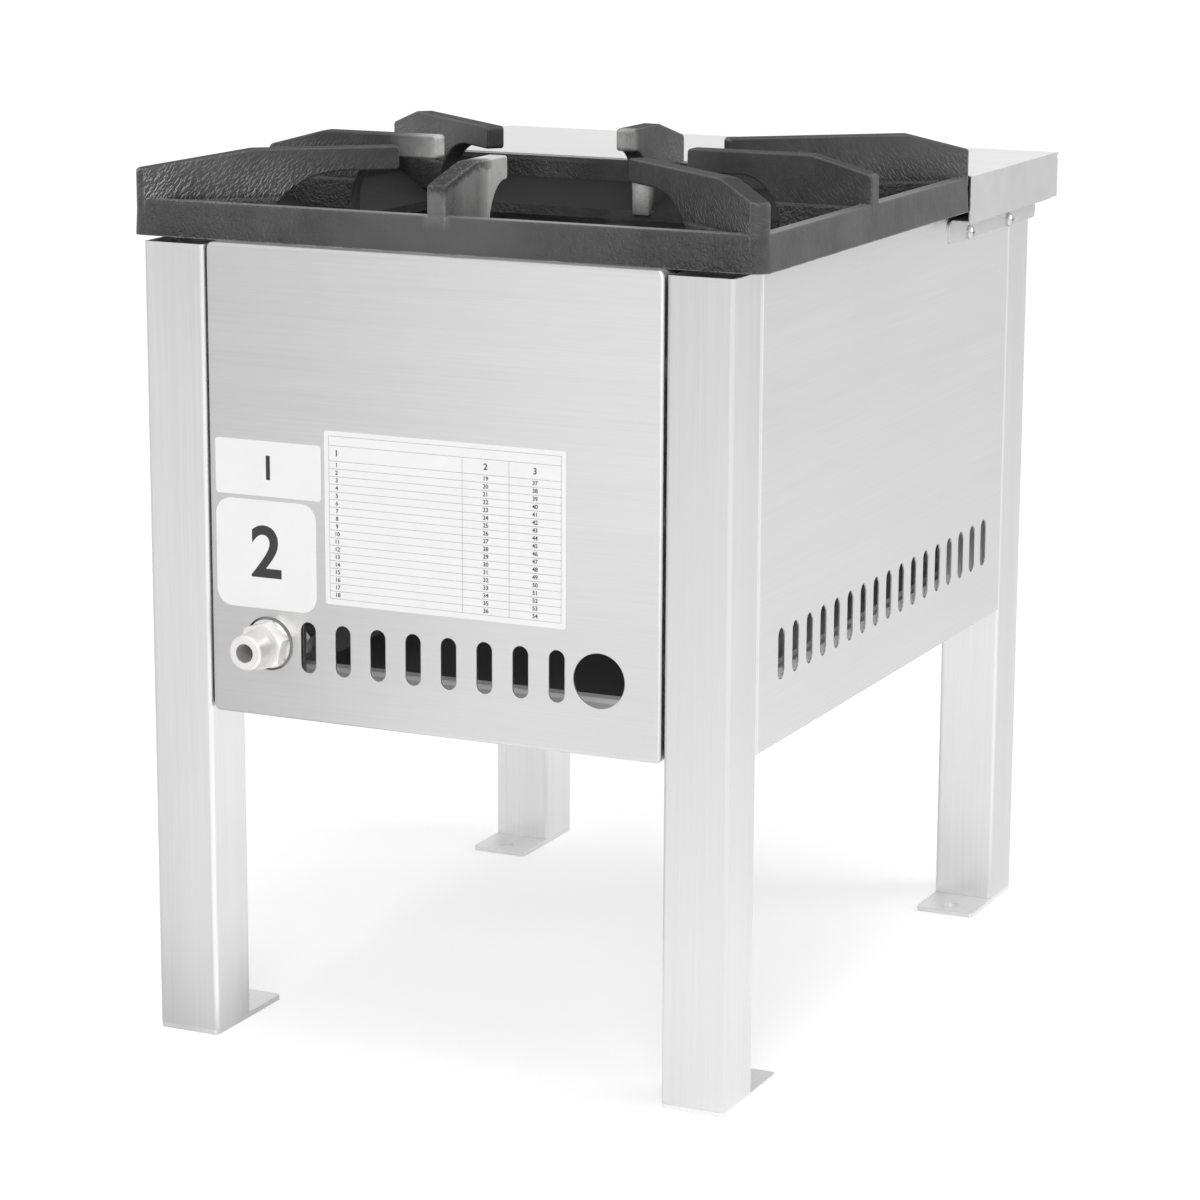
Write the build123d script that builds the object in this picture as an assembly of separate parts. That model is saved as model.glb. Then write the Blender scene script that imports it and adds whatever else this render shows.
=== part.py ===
from build123d import *
import math
import os

# Single-burner gas stock pot range on four square-tube legs.
# Millimetres. +Z is up and z = 0 is the floor. The cook stands at -Y, the gas comes in at +Y,
# and x = 0 is the middle. Left is -X and right is +X, as the cook sees them.

# ---------------------------------------------------------------- driving dimensions
# Frame of four legs
body_width = 372.6          # over the legs, along X
body_depth = 498.6          # over the legs, along Y
leg_size = 40.0
leg_wall = 1.5
leg_corner = 2.5
leg_top_gap = 2.0           # from a leg's top up to the seat of the pan support
foot_thickness = 3.0
foot_reach = 37.0           # how far a foot plate runs on past its leg
foot_hole = 9.0
foot_hole_offset = 24.0     # from the leg's inner face to the hole's centre
foot_corner = 3.0

# Folded sheet panels
sheet = 1.2
bend = 2.0                  # outside radius of a fold
panel_bottom = 203.0
seat_height = 481.4         # top edges of the panels, where the pan support sits
panel_return = 15.0         # depth of the folds on the front and rear panels
side_return = 12.0
side_hem = 3.5
side_return_gap = 19.4      # the side panels' upright folds end this far below the seat
panel_corner = 4.0
rear_seam = 1.5             # open seam between a front or rear panel and a leg
side_seam = 0.5
weld_boss = 12.0            # square pads on the folds that touch the legs
weld_boss_count = 3
slot_width = 10.0
slot_height = 30.5
rear_slot_count = 8
rear_slot_pitch = 22.9
side_slot_count = 17
side_slot_pitch = 21.7
side_slot_rise = 52.6       # from the panels' bottom to the middle of the side slots
port_rise = 44.3            # from the panels' bottom to the inlet and the rear slots
port_hole = 32.0
front_panel_gap = 2.5       # above the tray's front plate
front_panel_drop = 5.4      # from the seat down to the front panel's top

# Cast-iron pan support
rim_overhang = 13.7         # past the legs on each side, at half the rim's height
rim_depth = 335.0
rim_setback = 9.2           # from the rear panel's face to the rim
rim_height = 21.2
rim_wall = 8.0
rim_wall_draft = 1.0        # thicker by this at the flange
rim_corner = 9.0
rim_inner_corner = 6.0
rim_draft = 3.0             # degrees
rim_edge = 1.2              # rounding of the casting's edges
flange_inner = 52.0         # from the rim's outside to the opening
flange_rise = 7.6           # from the seat to the sloped flange's upper face, at the rim wall
flange_drop = 5.4           # and down to it at the opening
flange_thickness = 6.1      # upright, at the opening
flange_seat = 18.0          # width of the flat underside that sits on the panels
finger_thickness = 11.5
finger_rise = 48.6          # from the seat to the top of a finger
finger_outer_drop = 10.2    # from a finger's top to its outer end's top
finger_tip_height = 14.0
finger_kink_radius = 14.0
finger_shoulder = 3.5
finger_tip_radius = 2.4
finger_foot_drop = 7.4      # from the seat to the lowest point of a finger, at the opening
finger_bite = 1.0           # how far a foot's underside runs back into the flange
finger_arch_rise = 30.0
# Fingers: rim to kink, tip to the middle of the rim, foot past the flange, and length of the arch
side_finger = {"kink": 38.5, "tip": 83.0, "foot": 6.0, "arch": 25.0}
end_finger = {"kink": 38.5, "tip": 87.5, "foot": 4.0, "arch": 21.0}
corner_finger = {"kink": 43.0, "tip": 101.9, "foot": 2.0, "arch": 44.0}
long_corner_kink = 72.0     # at the right rear corner, where the finger slopes further
leg_pocket_gap = 0.5
support_lift_gap = 1.0      # between the rim and the deck

# Front deck
deck_overlap = 0.85         # past the rim on each side
deck_step = 0.1             # above the rim's top
cheek_overrun = 3.5         # how far a cheek runs back beside the rim's rounded corner
deck_reach = 16.7           # past the legs to the fascia
nose_slant = 4.0
nose_drop = 5.2
cheek_height = 29.2
cheek_corner = 9.0
cheek_setback = 9.5         # from the fascia to the cheek's upright edge
cheek_slant_drop = 11.7
cheek_slant = 5.0
fascia_gap = 0.3
fascia_return = 20.0
fascia_lip = 14.0
lip_depth = 13.5            # below the cheeks
lip_setback = 8.5           # from the fascia
lip_overrun = 4.9           # behind the deck's rear edge
lip_corner = 4.0
screw_edge = 3.8            # from the lip's lower edge to the screws
rear_screw_inset = 31.9     # from the deck's rear edge
front_screw_inset = 62.5    # from the fascia
screw_head = 9.2
screw_head_height = 3.2
screw_recess = 4.4
screw_recess_width = 0.8
screw_recess_depth = 1.2
screw_shank = 4.8
screw_length = 12.0
crossmember_seat = 17.0
crossmember_sheet = 1.5
crossmember_drop = 26.4     # from the seat to its lower edge
crossmember_end_gap = 0.3

# Drip tray on its runners
tray_side_gap = 3.3         # to the legs
tray_rear_gap = 29.3        # to the rear panel's folds
tray_floor_rise = 3.0       # above the panels' bottom
tray_height = 19.5
tray_sheet = 1.0
tray_hem = 8.0              # inward return on the rear wall
tray_front_rise = 1.0       # above the panels' bottom
tray_front_height = 40.0
handle_height = 14.1        # from the tray's floor to the handle
handle_width = 100.0
handle_reach = 22.0
handle_rod = 8.0
handle_bend = 9.0
handle_screw = 4.0
runner_size = 18.0
runner_sheet = 2.0
runner_rear_gap = 17.3      # the runners stop short of the rear panel's folds

# Burner
bowl_radius = 72.0
bowl_wall = 5.0
bowl_floor = 6.0
bowl_drop = 36.4            # from the seat of the pan support to the bowl's top
bowl_height = 40.0
bowl_edge = 7.0
tube_rise = 20.0            # from the bowl's underside to the axis of the mixing tube and the cock
mouth_gap = 99.3            # from the front panel's face to the mixing tube's mouth
tube_mouth_radius = 23.0
tube_mouth_length = 32.0
tube_throat_radius = 13.5
tube_throat = 60.0          # from the mouth to the throat
tube_end_radius = 18.0
tube_wall = 4.5
mouth_plate = 3.5
air_hole = 10.0
air_hole_circle = 14.2
air_hole_count = 4
head_overhang = 4.0         # past the bowl
head_wall = 6.0
head_height = 15.0
head_crown = 22.0
head_crown_radius = 18.0    # flat middle of the crown
head_shoulder = 5.0
head_shoulder_drop = 3.0
head_lug_count = 4          # lugs that hold the head in the middle of the bowl
head_lug_width = 10.0
head_lug_wall = 4.0
head_lug_drop = 8.0
head_lug_gap = 0.5
head_port_rise = 4.5        # from the bowl's top to the slots
head_port_count = 40
head_port_width = 2.5
head_port_height = 4.5
inner_port_radii = (46.0, 26.0)
inner_port_counts = (20, 10)
inner_port = 4.0
rail_size = 25.0
rail_thickness = 3.0
bar_width = 30.0
bar_thickness = 4.0
bar_inset = 30.0            # from the bowl's side to the middle of each bar
bar_bolt_inset = 12.7       # from the legs' inner faces
lug_offset = 1.0            # from the bowl's side to a lug's middle
lug_size = 20.0
lug_thickness = 6.0
lug_corner = 4.0
bolt = 6.0
bolt_head = 10.0            # across flats
bolt_head_height = 4.0
nut_height = 5.0
bolt_gap = 0.1              # radial, shank to hole

# Injector and air shutter
holder_shank = 13.0
holder_bore = 6.0
holder_hex = 20.0
holder_hex_length = 12.0
holder_stub = 12.0
holder_stub_length = 9.0
holder_overrun = 8.0        # from the mouth plate to the injector
injector_length = 12.0
injector_radius = 5.5
injector_bore = 1.8
injector_wall = 2.5
injector_nose = 4.0
shutter_thickness = 1.5
shutter_gap = 0.3
running_gap = 0.05          # radial
shutter_tab = 10.0

# Gas cock and knob
feed_run = 22.0             # from the mixing tube's axis to the cock's outlet
pipe_run = 28.5             # from the cock's inlet to the pipe's upright, which the rear inlet faces
valve_size = 32.0
valve_depth = 49.3          # behind the front panel's face
valve_shoulder = 26.0
valve_shoulder_length = 8.0
valve_corner = 4.0
valve_neck = 18.0
valve_neck_length = 4.2     # beyond the front panel's face
valve_port_depth = 37.3
valve_inlet_stub = 16.0
valve_outlet_stub = 12.0
valve_stub_length = 12.0
valve_bore = 5.0
spindle = 8.0
spindle_flat = 3.0          # from the axis to the flat
spindle_depth = 18.3        # all depths are behind the front panel's face
spindle_bore_depth = 33.3
push_travel = 3.5
rod_radius = 2.5
rod_collar = 3.9
rod_collar_length = 1.5
rod_front_gap = 0.3
rod_depth = 42.3
spring_wire = 0.7
spring_turn_count = 6
spring_end_gap = 0.35
magnet_radius = 8.0
magnet_length = 28.0
panel_nut_hex = 24.0
panel_nut_height = 4.0
knob_radius = 26.0
knob_reach = 28.7           # in front of the panel: the foremost point of the range
knob_length = 23.7
knob_skirt = 8.0
knob_face = 2.5             # wall left in front of the cavity
knob_edge = 1.6
knob_shaft_wall = 5.5        # in front of the spindle's hole
knob_grip = 13.0
knob_cavity = 15.5
knob_cavity_depth = 11.0
knob_hub = 7.0
scale_radius = 36.0
scale_hole = 15.0
scale_thickness = 1.0

# Gas line
inlet_reach = 28.7          # behind the rear panel: the rearmost point of the range
inlet_thread = 20.955       # G 1/2 outside
inlet_bore = 11.2
inlet_thread_length = 14.0
inlet_hex = 26.0
inlet_nose = 18.0           # from the hexagon to the thread's end
inlet_hex_length = 9.5
inlet_collar = 29.0
inlet_collar_length = 3.5
inlet_washer_size = 31.0
inlet_washer_thickness = 2.5
inlet_shank_depth = 27.3    # inside the rear panel's face
bracket_thickness = 3.0
bracket_below = 16.3        # from the inlet's axis to the bracket's edges
bracket_above = 16.7
bracket_reach = 20.5
locknut_hex = 30.0
locknut_length = 8.0
nut_overlap = 4.0
pipe_radius = 7.5
pipe_wall = 1.5
pipe_bend = 26.0
pipe_entry_bend = 14.0
pipe_nut_hex = 24.0
pipe_nut_length = 14.0
feed_radius = 5.0
feed_wall = 1.0
feed_bend = 13.0
feed_nut_hex = 19.0
feed_nut_length = 12.0
nut_gap = 0.1               # radial

# Pilot, thermocouple and spark electrode
pilot_x = 58.0
pilot_gap = 0.6             # from the bowl's front, along Y
pilot_radius = 4.0
pilot_hood = 6.0
pilot_wall = 1.5
pilot_rise = 18.0           # heights are above the bowl's top
pilot_length = 31.0
pilot_hood_length = 11.0
thermo_x = 70.0
thermo_gap = 1.6
thermo_radius = 2.5
thermo_rise = 19.0
thermo_length = 34.0
electrode_x = 81.0
electrode_gap = -0.4
electrode_radius = 3.0
electrode_rise = 10.0
electrode_length = 21.0
electrode_wire = 0.8
electrode_wire_rise = 21.0
bracket_arm_drop = 2.0      # below the bowl's top
pilot_sheet = 2.0
pilot_foot_gap = 5.0        # from a lug to the bracket's foot
pilot_foot_width = 18.0
pilot_foot_length = 24.0
pilot_arm_x = 50.0
pilot_arm_front = 9.0       # in front of the pilot, and behind it
pilot_arm_rear = 11.0
pilot_tube_radius = 2.0
pilot_tube_rise = 8.0       # above the cock
pilot_tube_runs = (40.0, 22.0)
pilot_tube_dip = 12.0       # below the pilot
thermo_lead_runs = (60.0, 40.0)
thermo_lead_dip = 10.0      # below the cock's axis
spark_lead_runs = (30.0, 60.0, 95.0)
spark_lead_ends = (70.0, 35.0)
spark_lead_side = 20.0
spark_lead_drop = 20.0      # below the burner rails
lead_radius = 1.5

# Piezo igniter
igniter_offset = 50.0       # from the middle
igniter_radius = 9.0
igniter_depth = 49.3         # behind the front panel's face
igniter_shoulder = 12.0
igniter_shoulder_length = 4.0
igniter_neck_length = 3.2
button_radius = 6.0
button_reach = 10.7
button_length = 24.0
button_gap = 0.1
button_travel = 5.0
button_spare = 3.0          # left in the bore behind the pressed button
igniter_nut_radius = 13.0
igniter_nut_height = 3.0

# Stick-on plates on the rear panel: width, height, from the panel's right edge and from the slots
# to the middle, corner radius
label_thickness = 0.3
rear_label_sizes = (
    (70.0, 32.7, 39.4, 103.9, 2.0),
    (66.5, 64.5, 37.5, 52.9, 10.0),
    (154.0, 102.0, 153.8, 78.7, 1.5),
)

# ---------------------------------------------------------------- places that follow
half_w = body_width / 2
half_d = body_depth / 2
leg_in_x = half_w - leg_size
leg_in_y = half_d - leg_size
leg_top = seat_height - leg_top_gap
panel_half = leg_in_x - rear_seam
side_panel_half = leg_in_y - side_seam
panel_in_y = half_d - sheet
side_return_top = seat_height - side_return_gap
side_slot_z = panel_bottom + side_slot_rise
port_z = panel_bottom + port_rise

rim_width = body_width + 2 * rim_overhang
rim_rear = half_d - rim_setback
rim_front = rim_rear - rim_depth
rim_middle = (rim_front + rim_rear) / 2
rim_top = seat_height + rim_height
flange_top_outer = seat_height + flange_rise
flange_top_inner = seat_height - flange_drop
finger_top = seat_height + finger_rise
finger_outer_top = finger_top - finger_outer_drop
finger_foot = seat_height - finger_foot_drop

deck_half_width = rim_width / 2 + deck_overlap
deck_top = rim_top + deck_step
deck_nose = half_d + deck_reach
deck_rear = rim_front - support_lift_gap
cheek_bottom = deck_top - cheek_height
cheek_rear = deck_rear + support_lift_gap + cheek_overrun
cheek_slant_z = deck_top - cheek_slant_drop
lip_bottom = cheek_bottom - lip_depth
lip_front = lip_setback - deck_nose
lip_rear = deck_rear + lip_overrun
deck_screw_z = lip_bottom + screw_edge
deck_screw_y = (deck_rear - rear_screw_inset, front_screw_inset - deck_nose)
crossmember_bottom = seat_height - crossmember_drop

tray_half_width = leg_in_x - tray_side_gap
tray_rear = half_d - panel_return - tray_rear_gap
tray_floor = panel_bottom + tray_floor_rise
tray_top = tray_floor + tray_height
tray_front_bottom = panel_bottom + tray_front_rise
tray_front_top = tray_front_bottom + tray_front_height
front_panel_bottom = tray_front_top + front_panel_gap
front_panel_top = seat_height - front_panel_drop
handle_z = tray_floor + handle_height

burner_y = rim_middle
bowl_top = seat_height - bowl_drop
bowl_bottom = bowl_top - bowl_height
rail_top = bowl_bottom - bar_thickness
rail_outer = leg_in_x + rail_size
bar_y = (burner_y - bowl_radius + bar_inset, burner_y + bowl_radius - bar_inset)
bar_bolt_x = leg_in_x + bar_bolt_inset
lug_x = bowl_radius + lug_offset
head_radius = bowl_radius + head_overhang
tube_z = bowl_bottom + tube_rise
tube_mouth_y = mouth_gap - half_d
tube_throat_y = tube_mouth_y + tube_throat
holder_front = tube_mouth_y - shutter_thickness - 2 * shutter_gap - holder_hex_length
stub_front = holder_front - holder_stub_length
injector_start = tube_mouth_y + mouth_plate + holder_overrun

valve_half = valve_size / 2
valve_x = feed_run + valve_stub_length + valve_half
valve_outlet_x = valve_x - valve_half - valve_stub_length
valve_inlet_x = valve_x + valve_half + valve_stub_length
port_x = valve_inlet_x + pipe_run
valve_front = -(half_d + valve_neck_length)
valve_rear = valve_depth - half_d
valve_port_y = valve_port_depth - half_d
spindle_rear = spindle_depth - half_d
spindle_bore_rear = spindle_bore_depth - half_d
rod_rear = rod_depth - half_d
panel_nut_front = -(half_d + panel_nut_height)
knob_front = -(half_d + knob_reach)

inlet_end = half_d + inlet_reach
inlet_hex_front = inlet_end - inlet_nose
inlet_shank_end = half_d - inlet_shank_depth
bracket_face = inlet_hex_front - inlet_hex_length - inlet_collar_length - inlet_washer_thickness

bowl_front = burner_y - bowl_radius
pilot_y = bowl_front - pilot_gap
pilot_high = bowl_top + pilot_rise
pilot_low = pilot_high - pilot_length
pilot_hood_low = pilot_high - pilot_hood_length
thermo_y = bowl_front - thermo_gap
thermo_high = bowl_top + thermo_rise
thermo_low = thermo_high - thermo_length
electrode_y = bowl_front - electrode_gap
electrode_body_top = bowl_top + electrode_rise
electrode_low = electrode_body_top - electrode_length
electrode_top = bowl_top + electrode_wire_rise
bracket_arm_z = bowl_top - bracket_arm_drop
pilot_foot_x = lug_x + lug_size / 2 + pilot_foot_gap

igniter_x = -igniter_offset
igniter_rear = igniter_depth - half_d
button_front = -(half_d + button_reach)
igniter_bore_rear = button_front + button_length + button_travel + button_spare


# ---------------------------------------------------------------- small helpers
def block(x, y, z):
    """Box between (low, high) pairs."""
    size = (x[1] - x[0], y[1] - y[0], z[1] - z[0])
    middle = ((x[0] + x[1]) / 2, (y[0] + y[1]) / 2, (z[0] + z[1]) / 2)
    return Pos(*middle) * Box(*size)


def rod_y(x, z, y0, y1, radius):
    """Round bar along Y."""
    return Pos(x, (y0 + y1) / 2, z) * Rot(90, 0, 0) * Cylinder(radius, abs(y1 - y0))


def rod_x(y, z, x0, x1, radius):
    """Round bar along X."""
    return Pos((x0 + x1) / 2, y, z) * Rot(0, 90, 0) * Cylinder(radius, abs(x1 - x0))


def rod_z(x, y, z0, z1, radius):
    """Round bar along Z."""
    return Pos(x, y, (z0 + z1) / 2) * Cylinder(radius, z1 - z0)


def hexagon(flats, length):
    """Hexagonal bar that stands on the XY plane, with its corners broken at both ends."""
    bar = extrude(RegularPolygon(flats / 2, 6, major_radius=False), length)
    corner = flats / math.sqrt(3)
    break_height = (corner - flats / 2) * 0.58
    turned = Pos(0, 0, length / 2) * Cylinder(corner, length)
    turned = chamfer(turned.edges().filter_by(GeomType.CIRCLE), break_height, corner - flats / 2)
    return bar & turned


def hex_y(x, z, y0, y1, flats, turn=0.0):
    """Hexagonal bar along Y from y0 up to y1."""
    return Pos(x, y0, z) * Rot(-90, 0, 0) * Rot(0, 0, turn) * hexagon(flats, y1 - y0)


def hex_x(y, z, x0, x1, flats):
    """Hexagonal bar along X from x0 up to x1."""
    return Pos(x0, y, z) * Rot(0, 90, 0) * hexagon(flats, x1 - x0)


def slots(count, pitch, depth):
    """Row of upright slots along X, cut through the XZ plane over depth each way."""
    slot = SlotOverall(slot_height, slot_width, rotation=90)
    row = Sketch() + [Pos(pitch * (i - (count - 1) / 2), 0) * slot for i in range(count)]
    return extrude(Plane.XZ * row, depth, both=True)


def tube_along(points, radius, bends, bore=0.0):
    """Round tube whose middle line is straight runs joined by arcs."""
    line = FilletPolyline(*points, radius=bends)
    start = Plane(origin=line @ 0, z_dir=line % 0)
    solid = sweep(start * Circle(radius), path=line)
    if bore:
        solid -= sweep(start * Circle(bore), path=line)
    return solid


def revolve_z(points, x, y):
    """Solid of revolution about the upright axis through (x, y); points are (radius, z)."""
    return Pos(x, y, 0) * revolve(Plane.XZ * make_face(Polyline(*points, close=True)), Axis.Z)


def revolve_y(points, x, z):
    """Solid of revolution about the Y axis through (x, z); points are (radius, y)."""
    outline = make_face(Polyline(*points, close=True))
    return Pos(x, 0, z) * revolve(outline, Axis.Y)


def mirrored(part):
    """The same part on the other side of x = 0."""
    return mirror(part, Plane.YZ)


# ---------------------------------------------------------------- frame
def leg(side, end):
    """Square tube, open at the top."""
    centre = Pos(side * (half_w - leg_size / 2), end * (half_d - leg_size / 2), foot_thickness)
    outer = RectangleRounded(leg_size, leg_size, leg_corner)
    inner = RectangleRounded(leg_size - 2 * leg_wall, leg_size - 2 * leg_wall, leg_corner - leg_wall)
    return centre * extrude(outer - inner, leg_top - foot_thickness)


def foot_plate(side, end):
    """Flat plate welded under a leg, with one hole for a floor bolt."""
    length = leg_size + foot_reach
    plate = Pos(side * (half_w - leg_size / 2), end * (half_d - length / 2)) * RectangleRounded(
        leg_size, length, foot_corner)
    hole = Pos(side * (half_w - leg_size / 2), end * (leg_in_y - foot_hole_offset)) * Circle(foot_hole / 2)
    return extrude(plate - hole, foot_thickness)


def weld_bosses(face_x, gap, y, z0, z1):
    """Pads that fill the seam between a panel's fold and a leg."""
    step = (z1 - z0) / weld_boss_count
    pads = []
    for i in range(weld_boss_count):
        middle = z0 + step * (i + 0.5)
        pads.append(block((face_x, face_x + gap), y, (middle - weld_boss / 2, middle + weld_boss / 2)))
    return pads


def end_panel(z0, z1):
    """Front or rear sheet between two legs, folded inwards on all four sides. Its face is at +Y."""
    outer = block((-panel_half, panel_half), (half_d - panel_return, half_d), (z0, z1))
    outer = fillet(outer.edges().filter_by(Axis.Y), panel_corner)
    outer = fillet(outer.faces().sort_by(Axis.Y)[-1].edges(), bend)
    hollow = block((-panel_half + sheet, panel_half - sheet),
                   (half_d - panel_return - sheet, panel_in_y), (z0 + sheet, z1 - sheet))
    hollow = fillet(hollow.edges().filter_by(Axis.Y), panel_corner - sheet)
    pad_y = (half_d - panel_return, half_d - panel_return + weld_boss / 2)
    pads = weld_bosses(panel_half - sheet / 2, rear_seam + sheet / 2, pad_y, z0 + weld_boss, z1 - weld_boss)
    return outer - hollow + pads + [mirrored(pad) for pad in pads]


def rear_panel():
    """Rear sheet with its row of slots, the gas hole and the spare hole."""
    panel = end_panel(panel_bottom, seat_height)
    panel -= Pos(0, half_d, port_z) * slots(rear_slot_count, rear_slot_pitch, 2 * sheet)
    for x in (-port_x, port_x):
        panel -= rod_y(x, port_z, half_d - 2 * sheet, half_d + sheet, port_hole / 2)
    return panel


def front_panel():
    """Front sheet above the drip tray, with holes for the gas cock and the igniter."""
    panel = Rot(0, 0, 180) * end_panel(front_panel_bottom, front_panel_top)
    panel -= rod_y(valve_x, tube_z, -half_d - sheet, -half_d + 2 * sheet, valve_neck / 2 + bolt_gap)
    panel -= rod_y(igniter_x, tube_z, -half_d - sheet, -half_d + 2 * sheet, igniter_radius + bolt_gap)
    return panel


def side_panel():
    """Right-hand side sheet with its long row of slots."""
    outer = block((half_w - side_return, half_w), (-side_panel_half, side_panel_half),
                  (panel_bottom, seat_height))
    outer = fillet(outer.faces().sort_by(Axis.X)[-1].edges(), bend)
    hollow = block((half_w - side_return - sheet, half_w - sheet),
                   (-side_panel_half + sheet, side_panel_half - sheet),
                   (panel_bottom + sheet, seat_height - sheet))
    panel = outer - hollow
    panel -= block((half_w - side_return - sheet, half_w - side_hem),
                   (-side_panel_half - sheet, side_panel_half + sheet),
                   (side_return_top, seat_height + sheet))
    panel -= Pos(half_w, 0, side_slot_z) * Rot(0, 0, 90) * slots(side_slot_count, side_slot_pitch, 2 * sheet)
    for y in deck_screw_y:
        panel -= rod_x(y, deck_screw_z, half_w - 2 * sheet, half_w + sheet, screw_shank / 2 + bolt_gap)
    for end in (-1, 1):
        low = min(end * side_panel_half, end * leg_in_y)
        for i in range(weld_boss_count):
            z = panel_bottom + (side_return_top - panel_bottom) * (i + 0.5) / weld_boss_count
            panel += block((half_w - side_return, half_w - side_return + weld_boss / 2),
                           (low, low + side_seam), (z - weld_boss / 2, z + weld_boss / 2))
    return panel


def front_crossmember():
    """Folded bar between the side panels: seats the rim's front and carries the deck's rear edge."""
    half = half_w - side_hem - crossmember_end_gap
    web = block((-half, half), (deck_rear - crossmember_sheet, deck_rear),
                (crossmember_bottom, deck_top - sheet))
    seat = block((-half, half), (deck_rear, deck_rear + crossmember_seat),
                 (seat_height - crossmember_sheet, seat_height))
    return web + seat


# ---------------------------------------------------------------- front deck
def front_deck():
    """Folded sheet: top, two cheeks with side lips, and the front fascia."""
    skin_half = deck_half_width - sheet - fascia_gap
    nose = -deck_nose
    top_front = nose + nose_slant
    slant = math.atan2(nose_drop, nose_slant) / 2
    inner_step = sheet * math.tan(slant)
    inner_rise = sheet * math.tan((math.pi / 2 - 2 * slant) / 2)
    outline = Polyline(
        (deck_rear, deck_top), (top_front, deck_top), (nose, deck_top - nose_drop), (nose, cheek_bottom),
        (nose + fascia_lip, cheek_bottom), (nose + fascia_lip, cheek_bottom + sheet),
        (nose + sheet, cheek_bottom + sheet), (nose + sheet, deck_top - nose_drop - inner_rise),
        (top_front + inner_step, deck_top - sheet), (deck_rear, deck_top - sheet), close=True)
    deck = extrude(Plane.YZ * make_face(outline), skin_half, both=True)
    cheek_front = nose + cheek_setback
    corner_start = (cheek_front + cheek_corner, cheek_bottom)
    corner_end = (cheek_front, cheek_bottom + cheek_corner)
    cheek = Polyline(corner_end, (cheek_front, cheek_slant_z), (cheek_front - cheek_slant, deck_top),
                     (cheek_rear, deck_top), (cheek_rear, cheek_bottom), corner_start)
    corner = RadiusArc(corner_start, corner_end, cheek_corner)
    cheek_face = make_face(Wire([*cheek.edges(), *corner.edges()]))
    for side in (-1, 1):
        low = min(side * deck_half_width, side * (deck_half_width - sheet))
        deck += Pos(low, 0, 0) * extrude(Plane.YZ * cheek_face, sheet)
        deck += block(sorted((side * (skin_half - sheet), side * skin_half)),
                      (nose + sheet / 2, nose + fascia_return), (cheek_bottom, deck_top - nose_drop))
        deck += block(sorted((side * (skin_half - sheet), side * deck_half_width)),
                      (cheek_front - cheek_slant, deck_rear), (deck_top - sheet, deck_top))
        deck += block(sorted((side * half_w, side * (deck_half_width - sheet / 2))),
                      (cheek_front + cheek_corner, deck_rear), (cheek_bottom, cheek_bottom + sheet))
        deck += side_lip(side)
    return deck


def side_lip(side):
    """Lip of the deck that lies on the side panel and takes two screws."""
    length = lip_rear - lip_front
    height = cheek_bottom + sheet - lip_bottom
    face = Pos((lip_front + lip_rear) / 2, lip_bottom + height / 2) * Rectangle(length, height)
    face = fillet(face.vertices(), lip_corner)
    for y in deck_screw_y:
        face -= Pos(y, deck_screw_z) * Circle(screw_shank / 2 + bolt_gap)
    low = min(side * half_w, side * (half_w + sheet))
    return Pos(low, 0, 0) * extrude(Plane.YZ * face, sheet)


def deck_screws():
    """Four pan-head screws that hold the deck's lips."""
    head_radius_low = screw_head / 2
    dome = [(0, 0), (head_radius_low, 0), (head_radius_low, 1.2), (head_radius_low - 0.7, 2.2),
            (head_radius_low - 2.0, screw_head_height - 0.2), (0, screw_head_height)]
    head = revolve_z(dome, 0, 0)
    recess = Box(screw_recess_width, screw_recess, 2 * screw_recess_depth)
    recess += Box(screw_recess, screw_recess_width, 2 * screw_recess_depth)
    head -= Pos(0, 0, screw_head_height) * recess
    screw = head + rod_z(0, 0, -screw_length, 0, screw_shank / 2)
    screws = []
    for side in (-1, 1):
        for y in deck_screw_y:
            place = Pos(side * (half_w + sheet), y, deck_screw_z)
            screws.append(place * Rot(0, side * 90, 0) * screw)
    return Compound(children=screws)


# ---------------------------------------------------------------- pan support
def rim_rectangle(margin, z, corner):
    """Rectangle inside the rim's outside, margin away from it, at height z."""
    width = rim_width - 2 * margin
    depth = rim_depth - 2 * margin
    shape = RectangleRounded(width, depth, corner) if corner else Rectangle(width, depth)
    return Pos(0, rim_middle, z) * shape


def finger(reach, direction, corner, tuck=0.0, scale=1.0):
    """One finger: an upright web inwards from the rim, with an arch under its tip.

    Lengths along it count from corner, and the web begins tuck further in. Distances across
    the rim grow by scale along the finger."""
    tip = (corner - Vector(0, rim_middle)).length - reach["tip"]
    foot = scale * flange_inner + reach["foot"]
    arch_end = foot + reach["arch"]
    under_tip = finger_top - finger_tip_height
    arch_low = under_tip - finger_arch_rise
    outline = Polyline((foot, arch_low), (foot, finger_foot),
                       (scale * (flange_inner - finger_bite), finger_foot),
                       (scale * (flange_seat + finger_thickness / 2), seat_height),
                       (tuck, seat_height), (tuck, finger_outer_top),
                       (reach["kink"], finger_top), (tip, finger_top),
                       (tip, under_tip), (arch_end, under_tip))
    arch = EllipticalCenterArc((arch_end, arch_low), reach["arch"], finger_arch_rise,
                               start_angle=90, arc_size=90)
    face = make_face(Wire([*outline.edges(), *arch.edges()]))
    for point, radius in (((reach["kink"], finger_top), finger_kink_radius),
                          ((tuck, finger_outer_top), finger_shoulder),
                          ((tip, finger_top), finger_tip_radius),
                          ((tip, under_tip), finger_tip_radius)):
        face = fillet(face.vertices().sort_by_distance(point)[0], radius)
    web = extrude(face, finger_thickness / 2, both=True)
    sides = web.faces().filter_by(Axis.Z)
    crown = [edge for side in sides for edge in side.edges() if edge.center().Y > arch_low]
    web = fillet(crown, rim_edge)
    plane = Plane(origin=(corner.X, corner.Y, 0), x_dir=(direction.X, direction.Y, 0),
                  z_dir=(direction.Y, -direction.X, 0))
    return plane * web


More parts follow.
